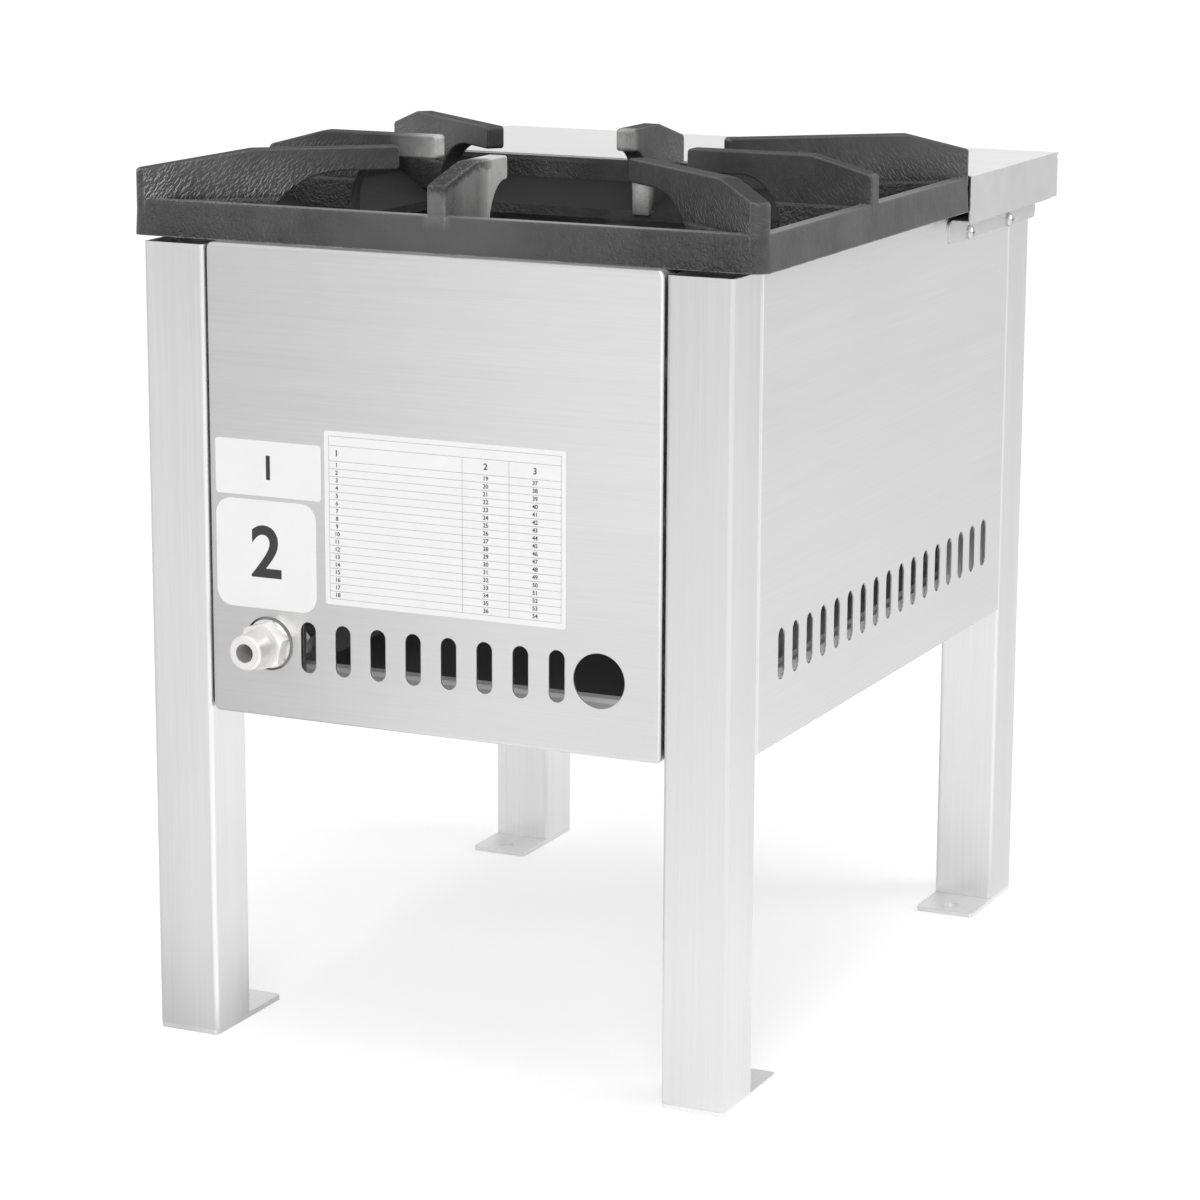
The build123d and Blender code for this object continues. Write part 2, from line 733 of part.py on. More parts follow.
def pan_support():
    """Square casting with a rim, a sloped inner flange and eight fingers."""
    spread = rim_height / 2 * math.tan(math.radians(rim_draft))
    bottom = rim_rectangle(-spread, seat_height, rim_corner)
    casting = extrude(bottom, rim_height, taper=rim_draft)
    top_edges = casting.edges().group_by(Axis.Z)[-1]
    casting = fillet(top_edges, rim_edge)
    under_outer = rim_rectangle(flange_seat, seat_height, 0)
    under_inner = rim_rectangle(flange_inner, flange_top_inner - flange_thickness, 0)
    casting += loft([under_outer, under_inner])
    wall_low = rim_wall + rim_wall_draft
    casting -= loft([rim_rectangle(wall_low, flange_top_outer, rim_inner_corner),
                     rim_rectangle(rim_wall, rim_top + rim_edge, rim_inner_corner)])
    casting -= loft([rim_rectangle(wall_low, flange_top_outer + 0.01, 0),
                     rim_rectangle(flange_inner, flange_top_inner, 0)])
    casting -= extrude(rim_rectangle(flange_inner, 0, 0), rim_top * 2)
    envelope = extrude(rim_rectangle(0, seat_height, rim_corner), 3 * rim_height)
    centre = Vector(0, rim_middle)
    for side in (-1, 1):
        casting += finger(side_finger, Vector(-side, 0), Vector(side * rim_width / 2, rim_middle))
        casting += finger(end_finger, Vector(0, -side), Vector(0, rim_middle + side * rim_depth / 2))
        for end in (-1, 1):
            corner = Vector(side * rim_width / 2, rim_middle + end * rim_depth / 2)
            inwards = (centre - corner).normalized()
            tuck = rim_corner * (math.sqrt(2) - 1)
            reach = dict(corner_finger)
            if side == end == 1:
                reach["kink"] = long_corner_kink
            casting += envelope & finger(reach, inwards, corner, tuck, 1 / abs(inwards.Y))
    for side in (-1, 1):
        casting -= block(sorted((side * (leg_in_x - leg_pocket_gap), side * rim_width)),
                         (leg_in_y - leg_pocket_gap, half_d + leg_size),
                         (0, leg_top + leg_pocket_gap))
    return casting


# ---------------------------------------------------------------- drip tray
def drip_tray():
    """Open pan under the burner."""
    outside = block((-tray_half_width, tray_half_width), (-panel_in_y, tray_rear),
                    (tray_floor, tray_top))
    inside = block((-tray_half_width + tray_sheet, tray_half_width - tray_sheet),
                   (-panel_in_y + tray_sheet, tray_rear - tray_sheet),
                   (tray_floor + tray_sheet, tray_top + tray_sheet))
    tray = outside - inside
    tray += block((-tray_half_width, tray_half_width), (tray_rear - tray_hem, tray_rear),
                  (tray_top - tray_sheet, tray_top))
    for x in (-handle_width / 2, handle_width / 2):
        tray -= rod_y(x, handle_z, -half_d, -panel_in_y + 2 * tray_sheet, handle_screw / 2 + bolt_gap)
    return tray


def tray_front():
    """Front plate of the drip tray."""
    plate = block((-panel_half, panel_half), (-half_d, -panel_in_y), (tray_front_bottom, tray_front_top))
    plate = fillet(plate.edges().filter_by(Axis.Y), bend)
    for x in (-handle_width / 2, handle_width / 2):
        plate -= rod_y(x, handle_z, -half_d - sheet, -panel_in_y + sheet, handle_screw / 2 + bolt_gap)
    return plate


def tray_handle():
    """Bow handle bent from round bar, drilled at both ends."""
    half = handle_width / 2
    reach = -half_d - handle_reach
    points = ((-half, -half_d, handle_z), (-half, reach, handle_z), (half, reach, handle_z),
              (half, -half_d, handle_z))
    handle = tube_along(points, handle_rod / 2, handle_bend)
    for x in (-half, half):
        handle -= rod_y(x, handle_z, -half_d - handle_bend, -half_d + sheet, handle_screw / 2 + bolt_gap)
    return handle


def handle_screws():
    """Two screws through the tray into the handle."""
    inner = -panel_in_y + tray_sheet
    screws = []
    for x in (-handle_width / 2, handle_width / 2):
        shank = rod_y(x, handle_z, -half_d - handle_bend + 1.0, inner, handle_screw / 2)
        screws.append(shank + rod_y(x, handle_z, inner, inner + 2.4, handle_screw))
    return Compound(children=screws)


def tray_runner():
    """Right-hand angle that the tray slides on, welded to two legs."""
    length = (-half_d + runner_rear_gap, half_d - runner_rear_gap)
    upright = block((leg_in_x - runner_sheet, leg_in_x), length,
                    (tray_floor - runner_sheet, tray_floor - runner_sheet + runner_size))
    shelf = block((leg_in_x - runner_size, leg_in_x), length, (tray_floor - runner_sheet, tray_floor))
    return upright + shelf


# ---------------------------------------------------------------- burner
def burner_rail():
    """Right-hand angle between two legs that the burner bars lie on."""
    length = (-leg_in_y, leg_in_y)
    shelf = block((leg_in_x, rail_outer), length, (rail_top - rail_thickness, rail_top))
    web = block((rail_outer - rail_thickness, rail_outer), length, (rail_top - rail_size, rail_top))
    rail = shelf + web
    for y in bar_y:
        rail -= rod_z(bar_bolt_x, y, rail_top - 2 * rail_thickness, rail_top + rail_thickness,
                      bolt / 2 + bolt_gap)
    return rail


def burner_bar(y):
    """Flat bar across the range under the burner."""
    half = rail_outer - rail_thickness
    bar = block((-half, half), (y - bar_width / 2, y + bar_width / 2), (rail_top, bowl_bottom))
    for x in (-bar_bolt_x, -lug_x, lug_x, bar_bolt_x):
        bar -= rod_z(x, y, rail_top - sheet, bowl_bottom + sheet, bolt / 2 + bolt_gap)
    return bar


def bolt_set(places, head_z, nut_z):
    """Hexagon bolts with their nuts, as separate solids."""
    pieces = []
    for x, y in places:
        head = Pos(x, y, head_z) * hexagon(bolt_head, bolt_head_height)
        shank = rod_z(x, y, nut_z - nut_height - 1.0, head_z, bolt / 2)
        nut = Pos(x, y, nut_z - nut_height) * hexagon(bolt_head, nut_height)
        nut -= rod_z(x, y, nut_z - 2 * nut_height, nut_z + nut_height, bolt / 2 + bolt_gap)
        pieces += [head + shank, nut]
    return Compound(children=pieces)


def burner_body():
    """Cast bowl with four lugs and the mixing tube that feeds it."""
    inner = bowl_radius - bowl_wall
    low = bowl_bottom
    bowl = revolve_z([(0, low), (bowl_radius - bowl_edge, low), (bowl_radius, low + bowl_edge),
                      (bowl_radius, bowl_top), (0, bowl_top)], 0, burner_y)
    for x in (-lug_x, lug_x):
        for y in bar_y:
            lug = Pos(x, y, low) * extrude(RectangleRounded(lug_size, lug_size, lug_corner), lug_thickness)
            lug_inner = x - math.copysign(lug_size, x)
            bowl += lug + block(sorted((x, lug_inner)), (y - lug_size / 2, y + lug_size / 2),
                                (low, low + lug_thickness))
    mouth = tube_mouth_y
    straight = mouth + tube_mouth_length
    end_y = burner_y - inner
    tube = revolve_y([(0, mouth), (tube_mouth_radius, mouth), (tube_mouth_radius, straight),
                      (tube_throat_radius, tube_throat_y), (tube_end_radius, end_y), (0, end_y)], 0, tube_z)
    bore = revolve_y([(0, mouth + mouth_plate), (tube_mouth_radius - tube_wall + 0.5, mouth + mouth_plate),
                      (tube_mouth_radius - tube_wall + 0.5, straight),
                      (tube_throat_radius - tube_wall, tube_throat_y),
                      (tube_end_radius - tube_wall, end_y + bowl_wall), (0, end_y + bowl_wall)], 0, tube_z)
    body = bowl + tube
    body -= rod_z(0, burner_y, low + bowl_floor, bowl_top + bowl_wall, inner)
    body -= bore
    body -= rod_y(0, tube_z, mouth - mouth_plate, mouth + 2 * mouth_plate, holder_shank / 2 + running_gap)
    body -= air_holes(mouth - mouth_plate, mouth + mouth_plate + 1.0)
    for x in (-lug_x, lug_x):
        for y in bar_y:
            body -= rod_z(x, y, low - lug_thickness, low + 2 * lug_thickness, bolt / 2 + bolt_gap)
    return body


def air_holes(y0, y1):
    """Ring of air holes round the mixing tube's axis."""
    holes = []
    for i in range(air_hole_count):
        angle = math.radians(45 + 360 / air_hole_count * i)
        x = air_hole_circle * math.cos(angle)
        z = tube_z + air_hole_circle * math.sin(angle)
        holes.append(rod_y(x, z, y0, y1, air_hole / 2))
    return holes


def burner_head():
    """Lift-off cast head with a ring of slots, two rings of round ports and lugs that centre it."""
    seat_in = bowl_radius - bowl_wall
    lug_out = seat_in - head_lug_gap
    wall_in = head_radius - head_wall
    top = bowl_top + head_height
    crown = bowl_top + head_crown
    floor = bowl_top + head_port_rise
    middle = head_radius * 0.6
    points = [(seat_in, bowl_top), (head_radius, bowl_top), (head_radius, top - head_shoulder_drop),
              (head_radius - head_shoulder, top), (middle, crown - head_shoulder_drop),
              (head_crown_radius, crown), (0, crown), (0, crown - head_wall),
              (middle, crown - head_shoulder_drop - head_wall), (wall_in, top - head_wall),
              (wall_in, floor), (seat_in, floor)]
    head = revolve_z(points, 0, burner_y)
    width = (-head_lug_width / 2, head_lug_width / 2)
    lug = block((lug_out - head_lug_wall, lug_out), width, (bowl_top - head_lug_drop, floor))
    lug += block((lug_out - head_lug_wall, wall_in), width, (bowl_top, floor))
    head += [Pos(0, burner_y, 0) * Rot(0, 0, 360 / head_lug_count * i) * lug for i in range(head_lug_count)]
    slot = block((wall_in - head_wall, head_radius + head_wall),
                 (-head_port_width / 2, head_port_width / 2), (floor, floor + head_port_height))
    head -= [Pos(0, burner_y, 0) * Rot(0, 0, 360 / head_port_count * i) * slot
             for i in range(head_port_count)]
    for radius, count in zip(inner_port_radii, inner_port_counts):
        port = Pos(radius, 0, crown - head_wall) * Cylinder(inner_port / 2, 4 * head_wall)
        head -= [Pos(0, burner_y, 0) * Rot(0, 0, 360 / count * i) * port for i in range(count)]
    return head


# ---------------------------------------------------------------- injector and shutter
def air_shutter():
    """Disc with air holes that turns on the injector holder, with a thumb tab."""
    front = tube_mouth_y - shutter_gap - shutter_thickness
    rear = tube_mouth_y - shutter_gap
    disc = rod_y(0, tube_z, front, rear, tube_mouth_radius)
    disc += block((-tube_mouth_radius - shutter_tab, -tube_mouth_radius + 2.0), (front, rear),
                  (tube_z - shutter_tab / 2, tube_z + shutter_tab / 2))
    disc -= rod_y(0, tube_z, front - 1.0, rear + 1.0, holder_shank / 2 + running_gap)
    disc -= air_holes(front - 1.0, rear + 1.0)
    return disc


def injector_holder():
    """Brass holder through the mixing tube's mouth plate."""
    hex_rear = holder_front + holder_hex_length
    holder = hex_y(0, tube_z, holder_front, hex_rear, holder_hex)
    holder += rod_y(0, tube_z, hex_rear, injector_start, holder_shank / 2)
    holder += rod_y(0, tube_z, stub_front, holder_front, holder_stub / 2)
    return holder - rod_y(0, tube_z, stub_front - 1.0, injector_start + 1.0, holder_bore / 2)


def injector():
    """Brass injector on the end of its holder."""
    end = injector_start + injector_length
    inner = injector_radius - injector_wall
    nose_start = end - injector_nose
    nose = revolve_y([(0, injector_start), (injector_radius, injector_start),
                      (injector_radius, nose_start), (inner, end), (0, end)], 0, tube_z)
    nose -= rod_y(0, tube_z, injector_start - 1.0, end + 1.0, injector_bore / 2)
    return nose - rod_y(0, tube_z, injector_start - 1.0, nose_start, inner)


# ---------------------------------------------------------------- gas cock and knob
def valve_body():
    """Gas cock behind the front panel, with its neck through the panel."""
    block_front = valve_shoulder_length - panel_in_y
    body = block((valve_x - valve_half, valve_x + valve_half), (block_front, valve_rear),
                 (tube_z - valve_half, tube_z + valve_half))
    body = fillet(body.edges().filter_by(Axis.Y), valve_corner)
    body += rod_y(valve_x, tube_z, -panel_in_y, block_front, valve_shoulder / 2)
    body += rod_y(valve_x, tube_z, valve_front, -panel_in_y, valve_neck / 2)
    right = valve_x + valve_half
    left = valve_x - valve_half
    body += rod_x(valve_port_y, tube_z, right, right + valve_stub_length, valve_inlet_stub / 2)
    body += rod_x(valve_port_y, tube_z, left - valve_stub_length, left, valve_outlet_stub / 2)
    body -= rod_y(valve_x, tube_z, valve_front - 1.0, spindle_bore_rear, spindle / 2 + running_gap)
    body -= rod_y(valve_x, tube_z, spindle_bore_rear - 1.0, valve_rear + 1.0, rod_radius + running_gap)
    gas_way = rod_x(valve_port_y, tube_z, left - 2 * valve_stub_length, right + 2 * valve_stub_length,
                    valve_bore / 2)
    return body - gas_way


def valve_nut():
    """Thin hexagon nut that clamps the cock to the panel."""
    nut = hex_y(valve_x, tube_z, panel_nut_front, -half_d, panel_nut_hex)
    return nut - rod_y(valve_x, tube_z, panel_nut_front - 1.0, -half_d + 1.0, valve_neck / 2 + nut_gap)


def valve_spindle():
    """Turning spindle with a flat for the knob."""
    front = knob_front + knob_shaft_wall + 0.5
    shaft = rod_y(valve_x, tube_z, front, spindle_rear, spindle / 2)
    flat_end = valve_front - push_travel - 0.5
    return shaft - block((valve_x - spindle, valve_x + spindle), (front - 1.0, flat_end),
                         (tube_z + spindle_flat, tube_z + spindle))


def push_rod():
    """Rod that a pushed knob drives into the magnet unit."""
    collar_front = spindle_rear + rod_front_gap
    collar = rod_y(valve_x, tube_z, collar_front, collar_front + rod_collar_length, rod_collar)
    return collar + rod_y(valve_x, tube_z, collar_front, rod_rear, rod_radius)


def push_spring():
    """Coil spring round the push rod."""
    start = spindle_rear + rod_front_gap + rod_collar_length + spring_end_gap
    length = spindle_bore_rear - spring_end_gap - start
    middle = (rod_radius + spindle / 2) / 2
    rise = length - spring_wire
    helix = Helix(rise / spring_turn_count, rise, middle)
    section = Plane(origin=helix @ 0, z_dir=helix % 0) * Circle(spring_wire / 2)
    coil = sweep(section, path=helix)
    return Pos(valve_x, start + spring_wire / 2, tube_z) * Rot(-90, 0, 0) * coil


def magnet_unit():
    """Flame-failure magnet screwed on the rear of the cock."""
    unit = rod_y(valve_x, tube_z, valve_rear, valve_rear + magnet_length, magnet_radius)
    unit += hex_y(valve_x, tube_z, valve_rear + 2.0, valve_rear + 9.0, 2 * magnet_radius + 3.0)
    return unit


def control_knob():
    """Round knob with a raised grip bar."""
    rear = knob_front + knob_length
    skirt_front = rear - knob_skirt
    skirt = revolve_y([(0, rear), (knob_radius, rear), (knob_radius, skirt_front + 1.5),
                       (knob_radius - 2.0, skirt_front), (0, skirt_front)], 0, 0)
    grip = block((-knob_grip / 2, knob_grip / 2), (knob_front, skirt_front + 1.0),
                 (-knob_radius + 3.0, knob_radius - 3.0))
    grip = fillet(grip.edges().filter_by(Axis.Y), knob_face + knob_edge)
    grip = fillet(grip.faces().sort_by(Axis.Y)[0].edges(), knob_edge)
    knob = skirt + grip
    cavity_front = rear - knob_cavity_depth
    cavity = rod_y(0, 0, cavity_front, rear + 1.0, knob_cavity)
    hub_rear = valve_front - push_travel - 1.0
    in_skirt = block((-knob_cavity, knob_cavity), (skirt_front + knob_face, rear + 1.0),
                     (-knob_cavity, knob_cavity))
    in_grip = block((knob_face - knob_grip / 2, knob_grip / 2 - knob_face), (cavity_front, rear),
                    (-knob_cavity, knob_cavity))
    knob -= cavity & (in_skirt + in_grip)
    knob += rod_y(0, 0, skirt_front, hub_rear, knob_hub)
    hole = rod_y(0, 0, knob_front + knob_shaft_wall, rear + 1.0, spindle / 2 + running_gap)
    hole -= block((-spindle, spindle), (knob_front, rear + 2.0), (spindle_flat + running_gap, spindle))
    return Pos(valve_x, 0, tube_z) * (knob - hole)


def knob_scale():
    """Flat ring behind the knob."""
    ring = rod_y(valve_x, tube_z, -half_d - scale_thickness, -half_d, scale_radius)
    return ring - rod_y(valve_x, tube_z, -half_d - sheet - 1.0, -half_d + 1.0, scale_hole)


# ---------------------------------------------------------------- gas line
def gas_inlet():
    """Nickel-plated male fitting on the rear panel."""
    thread = inlet_thread / 2
    cone_start = inlet_end - inlet_thread_length
    hex_rear = inlet_hex_front - inlet_hex_length
    collar_rear = hex_rear - inlet_collar_length
    body = revolve_y([(0, inlet_hex_front), (thread + 1.3, inlet_hex_front), (thread, cone_start),
                      (thread, inlet_end - 1.2), (thread - 1.2, inlet_end), (0, inlet_end)], port_x, port_z)
    body += hex_y(port_x, port_z, hex_rear, inlet_hex_front, inlet_hex, 17.5)
    body += rod_y(port_x, port_z, collar_rear, hex_rear, inlet_collar / 2)
    body += rod_y(port_x, port_z, inlet_shank_end, collar_rear, thread)
    return body - rod_y(port_x, port_z, inlet_shank_end - 1.0, inlet_end + 1.0, inlet_bore / 2)


def ring_y(y0, y1, outer, inner):
    """Flat ring round the inlet's axis."""
    return rod_y(port_x, port_z, y0, y1, outer) - rod_y(port_x, port_z, y0 - 1.0, y1 + 1.0, inner)


def inlet_bracket():
    """Plate that holds the inlet, with a flange on the rear panel's fold."""
    rear = bracket_face
    front = rear - bracket_thickness
    fold = panel_half - sheet
    z = (port_z - bracket_below, port_z + bracket_above)
    plate = block((port_x - bracket_reach, fold), (front, rear), z)
    flange = block((fold - bracket_thickness, fold), (half_d - panel_return, rear), z)
    hole = rod_y(port_x, port_z, front - 1.0, rear + 1.0, inlet_thread / 2 + bolt_gap)
    return plate + flange - hole


def inlet_locknut():
    rear = bracket_face - bracket_thickness
    nut = hex_y(port_x, port_z, rear - locknut_length, rear, locknut_hex)
    return nut - rod_y(port_x, port_z, rear - 2 * locknut_length, rear + 1.0, inlet_thread / 2 + nut_gap)


def gas_pipe():
    """Steel pipe from the inlet along the right side, up and across to the cock."""
    points = ((port_x, inlet_shank_end, port_z), (port_x, valve_port_y, port_z),
              (port_x, valve_port_y, tube_z), (valve_inlet_x, valve_port_y, tube_z))
    return tube_along(points, pipe_radius, [pipe_bend, pipe_entry_bend], pipe_radius - pipe_wall)


def gas_pipe_nuts():
    """Two union nuts on the gas pipe."""
    end = inlet_shank_end + nut_overlap
    inlet_nut = hex_y(port_x, port_z, end - pipe_nut_length, end, pipe_nut_hex)
    inlet_nut -= rod_y(port_x, port_z, inlet_shank_end, end + 1.0, inlet_thread / 2 + nut_gap)
    inlet_nut -= rod_y(port_x, port_z, end - 2 * pipe_nut_length, end, pipe_radius + nut_gap)
    start = valve_inlet_x - nut_overlap
    valve_side = hex_x(valve_port_y, tube_z, start, start + pipe_nut_length, pipe_nut_hex)
    valve_side -= rod_x(valve_port_y, tube_z, start - 1.0, valve_inlet_x, valve_inlet_stub / 2 + nut_gap)
    valve_side -= rod_x(valve_port_y, tube_z, start, start + 2 * pipe_nut_length, pipe_radius + nut_gap)
    return Compound(children=[inlet_nut, valve_side])


def feed_tube():
    """Bent tube from the cock to the injector holder."""
    points = ((valve_outlet_x, valve_port_y, tube_z), (0, valve_port_y, tube_z), (0, stub_front, tube_z))
    return tube_along(points, feed_radius, feed_bend, feed_radius - feed_wall)


def feed_tube_nuts():
    """Two union nuts on the feed tube."""
    start = valve_outlet_x + nut_overlap
    cock_nut = hex_x(valve_port_y, tube_z, start - feed_nut_length, start, feed_nut_hex)
    cock_nut -= rod_x(valve_port_y, tube_z, valve_outlet_x, start + 1.0, valve_outlet_stub / 2 + nut_gap)
    cock_nut -= rod_x(valve_port_y, tube_z, start - 2 * feed_nut_length, start, feed_radius + nut_gap)
    end = stub_front + nut_overlap
    holder_nut = hex_y(0, tube_z, end - feed_nut_length, end, feed_nut_hex)
    holder_nut -= rod_y(0, tube_z, stub_front, end + 1.0, holder_stub / 2 + nut_gap)
    holder_nut -= rod_y(0, tube_z, end - 2 * feed_nut_length, end, feed_radius + nut_gap)
    return Compound(children=[cock_nut, holder_nut])


# ---------------------------------------------------------------- pilot
def pilot_bracket():
    """Bent strip on the front burner bar that carries the pilot, thermocouple and electrode."""
    foot_y = (bar_y[0] - pilot_foot_length / 2, bar_y[0] + pilot_foot_length / 2)
    arm_y = (pilot_y - pilot_arm_front, pilot_y + pilot_arm_rear)
    foot = block((pilot_foot_x, pilot_foot_x + pilot_foot_width), foot_y,
                 (bowl_bottom, bowl_bottom + pilot_sheet))
    riser = block((pilot_foot_x, pilot_foot_x + pilot_sheet), (arm_y[0], foot_y[1]),
                  (bowl_bottom, bracket_arm_z + pilot_sheet))
    arm = block((pilot_arm_x, pilot_foot_x + pilot_sheet), arm_y,
                (bracket_arm_z, bracket_arm_z + pilot_sheet))
    bracket = foot + riser + arm
    for x, y, radius in ((pilot_x, pilot_y, pilot_radius), (thermo_x, thermo_y, thermo_radius),
                         (electrode_x, electrode_y, electrode_radius)):
        bracket -= rod_z(x, y, bracket_arm_z - 1.0, bracket_arm_z + 2 * pilot_sheet, radius + bolt_gap)
    return bracket


def pilot_burner():
    """Pilot tube with a hood whose window faces the burner."""
    pilot = rod_z(pilot_x, pilot_y, pilot_low, pilot_high, pilot_radius)
    pilot += rod_z(pilot_x, pilot_y, pilot_hood_low, pilot_high, pilot_hood)
    room = (pilot_hood_low + pilot_wall, pilot_high - pilot_wall)
    pilot -= rod_z(pilot_x, pilot_y, *room, pilot_hood - pilot_wall)
    window = block((pilot_x - pilot_hood / 2, pilot_x + pilot_hood / 2), (pilot_y, pilot_y + 2 * pilot_hood),
                   (room[0] + 1.0, room[1] - 1.0))
    return pilot - window


def pilot_tube():
    """Thin tube from the cock's top to the pilot."""
    start_z = tube_z + valve_half
    high = start_z + pilot_tube_rise
    low = pilot_low - pilot_tube_dip
    front = valve_port_y - pilot_hood
    points = ((pilot_x, front, start_z), (pilot_x, front, high),
              (pilot_x, pilot_y - pilot_tube_runs[0], high), (pilot_x, pilot_y - pilot_tube_runs[1], low),
              (pilot_x, pilot_y, low), (pilot_x, pilot_y, pilot_low))
    return tube_along(points, pilot_tube_radius, [3.5, 15.0, 8.0, 5.0])


def thermocouple():
    """Thermocouple tip with its lead back to the magnet unit."""
    start = valve_rear + magnet_length
    low = tube_z - thermo_lead_dip
    points = ((valve_x, start, tube_z), (valve_x, start + thermo_lead_runs[0], tube_z),
              (thermo_x, thermo_y - thermo_lead_runs[1], low), (thermo_x, thermo_y, low),
              (thermo_x, thermo_y, thermo_low))
    lead = tube_along(points, lead_radius, [30.0, 20.0, 6.0])
    return lead + rod_z(thermo_x, thermo_y, thermo_low, thermo_high, thermo_radius)


def spark_electrode():
    """Ceramic electrode with its wire bent towards the pilot."""
    ceramic = rod_z(electrode_x, electrode_y, electrode_low, electrode_body_top, electrode_radius)
    tip_x = pilot_x + pilot_hood + 2.0
    points = ((electrode_x, electrode_y, electrode_body_top), (electrode_x, electrode_y, electrode_top),
              (tip_x + 9.0, electrode_y + 7.0, electrode_top))
    return ceramic + tube_along(points, electrode_wire, 3.0)


# ---------------------------------------------------------------- igniter
def igniter_body():
    """Piezo igniter through the front panel."""
    front = -(half_d + igniter_neck_length)
    shoulder_rear = -panel_in_y + igniter_shoulder_length
    body = rod_y(igniter_x, tube_z, front, igniter_rear, igniter_radius)
    body += rod_y(igniter_x, tube_z, -panel_in_y, shoulder_rear, igniter_shoulder)
    return body - rod_y(igniter_x, tube_z, front - 1.0, igniter_bore_rear, button_radius + button_gap)


def igniter_button():
    """Push button with a rounded face."""
    button = rod_y(igniter_x, tube_z, button_front, button_front + button_length, button_radius)
    return fillet(button.edges().sort_by(Axis.Y)[0], 1.5)


def igniter_nut():
    """Ring nut outside the panel."""
    ring = rod_y(igniter_x, tube_z, -half_d - igniter_nut_height, -half_d, igniter_nut_radius)
    ring = chamfer(ring.edges().sort_by(Axis.Y)[0], 0.8)
    return ring - rod_y(igniter_x, tube_z, -half_d - 2 * igniter_nut_height, -half_d + 1.0,
                        igniter_radius + nut_gap)


def igniter_lead():
    """Insulated lead from the igniter under the mixing tube to the electrode."""
    low = rail_top - spark_lead_drop
    first, second, third = (igniter_rear + run for run in spark_lead_runs)
    near, last = (electrode_y - run for run in spark_lead_ends)
    points = ((igniter_x, igniter_rear, tube_z), (igniter_x, first, tube_z), (igniter_x, second, low),
              (igniter_x + spark_lead_side, third, low), (electrode_x - spark_lead_side, near, low),
              (electrode_x, last, low), (electrode_x, electrode_y, low + pilot_tube_dip),
              (electrode_x, electrode_y, electrode_low))
    return tube_along(points, lead_radius, [14.0, 16.0, 16.0, 20.0, 14.0, 8.0])


def rear_labels():
    """Three thin plates stuck on the rear panel."""
    plates = []
    for width, height, from_edge, from_slots, corner in rear_label_sizes:
        face = RectangleRounded(width, height, corner)
        plate = extrude(Plane.XZ * face, label_thickness)
        plates.append(Pos(panel_half - from_edge, half_d + label_thickness, port_z + from_slots) * plate)
    return Compound(children=plates)


# ---------------------------------------------------------------- the assembly
def build_parts():
    """Every piece of the range by name."""
    parts = {}
    for side, side_name in ((-1, "left"), (1, "right")):
        for end, end_name in ((-1, "front"), (1, "rear")):
            parts[f"leg_{end_name}_{side_name}"] = leg(side, end)
            parts[f"foot_plate_{end_name}_{side_name}"] = foot_plate(side, end)
    pairs = {"side_panel": side_panel, "tray_runner": tray_runner, "burner_rail": burner_rail}
    for name, make in pairs.items():
        parts[f"{name}_right"] = make()
        parts[f"{name}_left"] = mirrored(make())
    parts["rear_panel"] = rear_panel()
    parts["front_panel"] = front_panel()
    parts["front_crossmember"] = front_crossmember()
    parts["front_deck"] = front_deck()
    parts["deck_screws"] = deck_screws()
    parts["pan_support"] = pan_support()
    parts["drip_tray"] = drip_tray()
    parts["tray_front"] = tray_front()
    parts["tray_handle"] = tray_handle()
    parts["handle_screws"] = handle_screws()
    parts["burner_bar_front"] = burner_bar(bar_y[0])
    parts["burner_bar_rear"] = burner_bar(bar_y[1])
    bar_bolts = [(x, y) for x in (-bar_bolt_x, bar_bolt_x) for y in bar_y]
    lug_bolts = [(x, y) for x in (-lug_x, lug_x) for y in bar_y]
    parts["burner_bar_bolts"] = bolt_set(bar_bolts, bowl_bottom, rail_top - rail_thickness)
    parts["burner_bolts"] = bolt_set(lug_bolts, bowl_bottom + lug_thickness, rail_top)
    parts["burner_body"] = burner_body()
    parts["burner_head"] = burner_head()
    parts["air_shutter"] = air_shutter()
    parts["injector_holder"] = injector_holder()
    parts["injector"] = injector()
    parts["valve_body"] = valve_body()
    parts["valve_nut"] = valve_nut()
    parts["valve_spindle"] = valve_spindle()
    parts["push_rod"] = push_rod()
    parts["push_spring"] = push_spring()
    parts["magnet_unit"] = magnet_unit()
    parts["control_knob"] = control_knob()
    parts["knob_scale"] = knob_scale()
    parts["gas_inlet"] = gas_inlet()
    parts["inlet_washer"] = ring_y(bracket_face, bracket_face + inlet_washer_thickness,
                                   inlet_washer_size / 2, inlet_thread / 2 + nut_gap)
    parts["inlet_bracket"] = inlet_bracket()
    parts["inlet_locknut"] = inlet_locknut()
    parts["gas_pipe"] = gas_pipe()
    parts["gas_pipe_nuts"] = gas_pipe_nuts()
    parts["feed_tube"] = feed_tube()
    parts["feed_tube_nuts"] = feed_tube_nuts()
    parts["pilot_bracket"] = pilot_bracket()
    parts["pilot_burner"] = pilot_burner()
    parts["pilot_tube"] = pilot_tube()
    parts["thermocouple"] = thermocouple()
    parts["spark_electrode"] = spark_electrode()
    parts["igniter_body"] = igniter_body()
    parts["igniter_button"] = igniter_button()
    parts["igniter_nut"] = igniter_nut()
    parts["igniter_lead"] = igniter_lead()
    parts["rear_labels"] = rear_labels()
    return parts


os.makedirs("parts", exist_ok=True)
for name, part in build_parts().items():
    export_step(part, f"parts/{name}.step")
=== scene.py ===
import bpy
import bmesh
import math
from functools import cached_property
from mathutils import Matrix, Vector


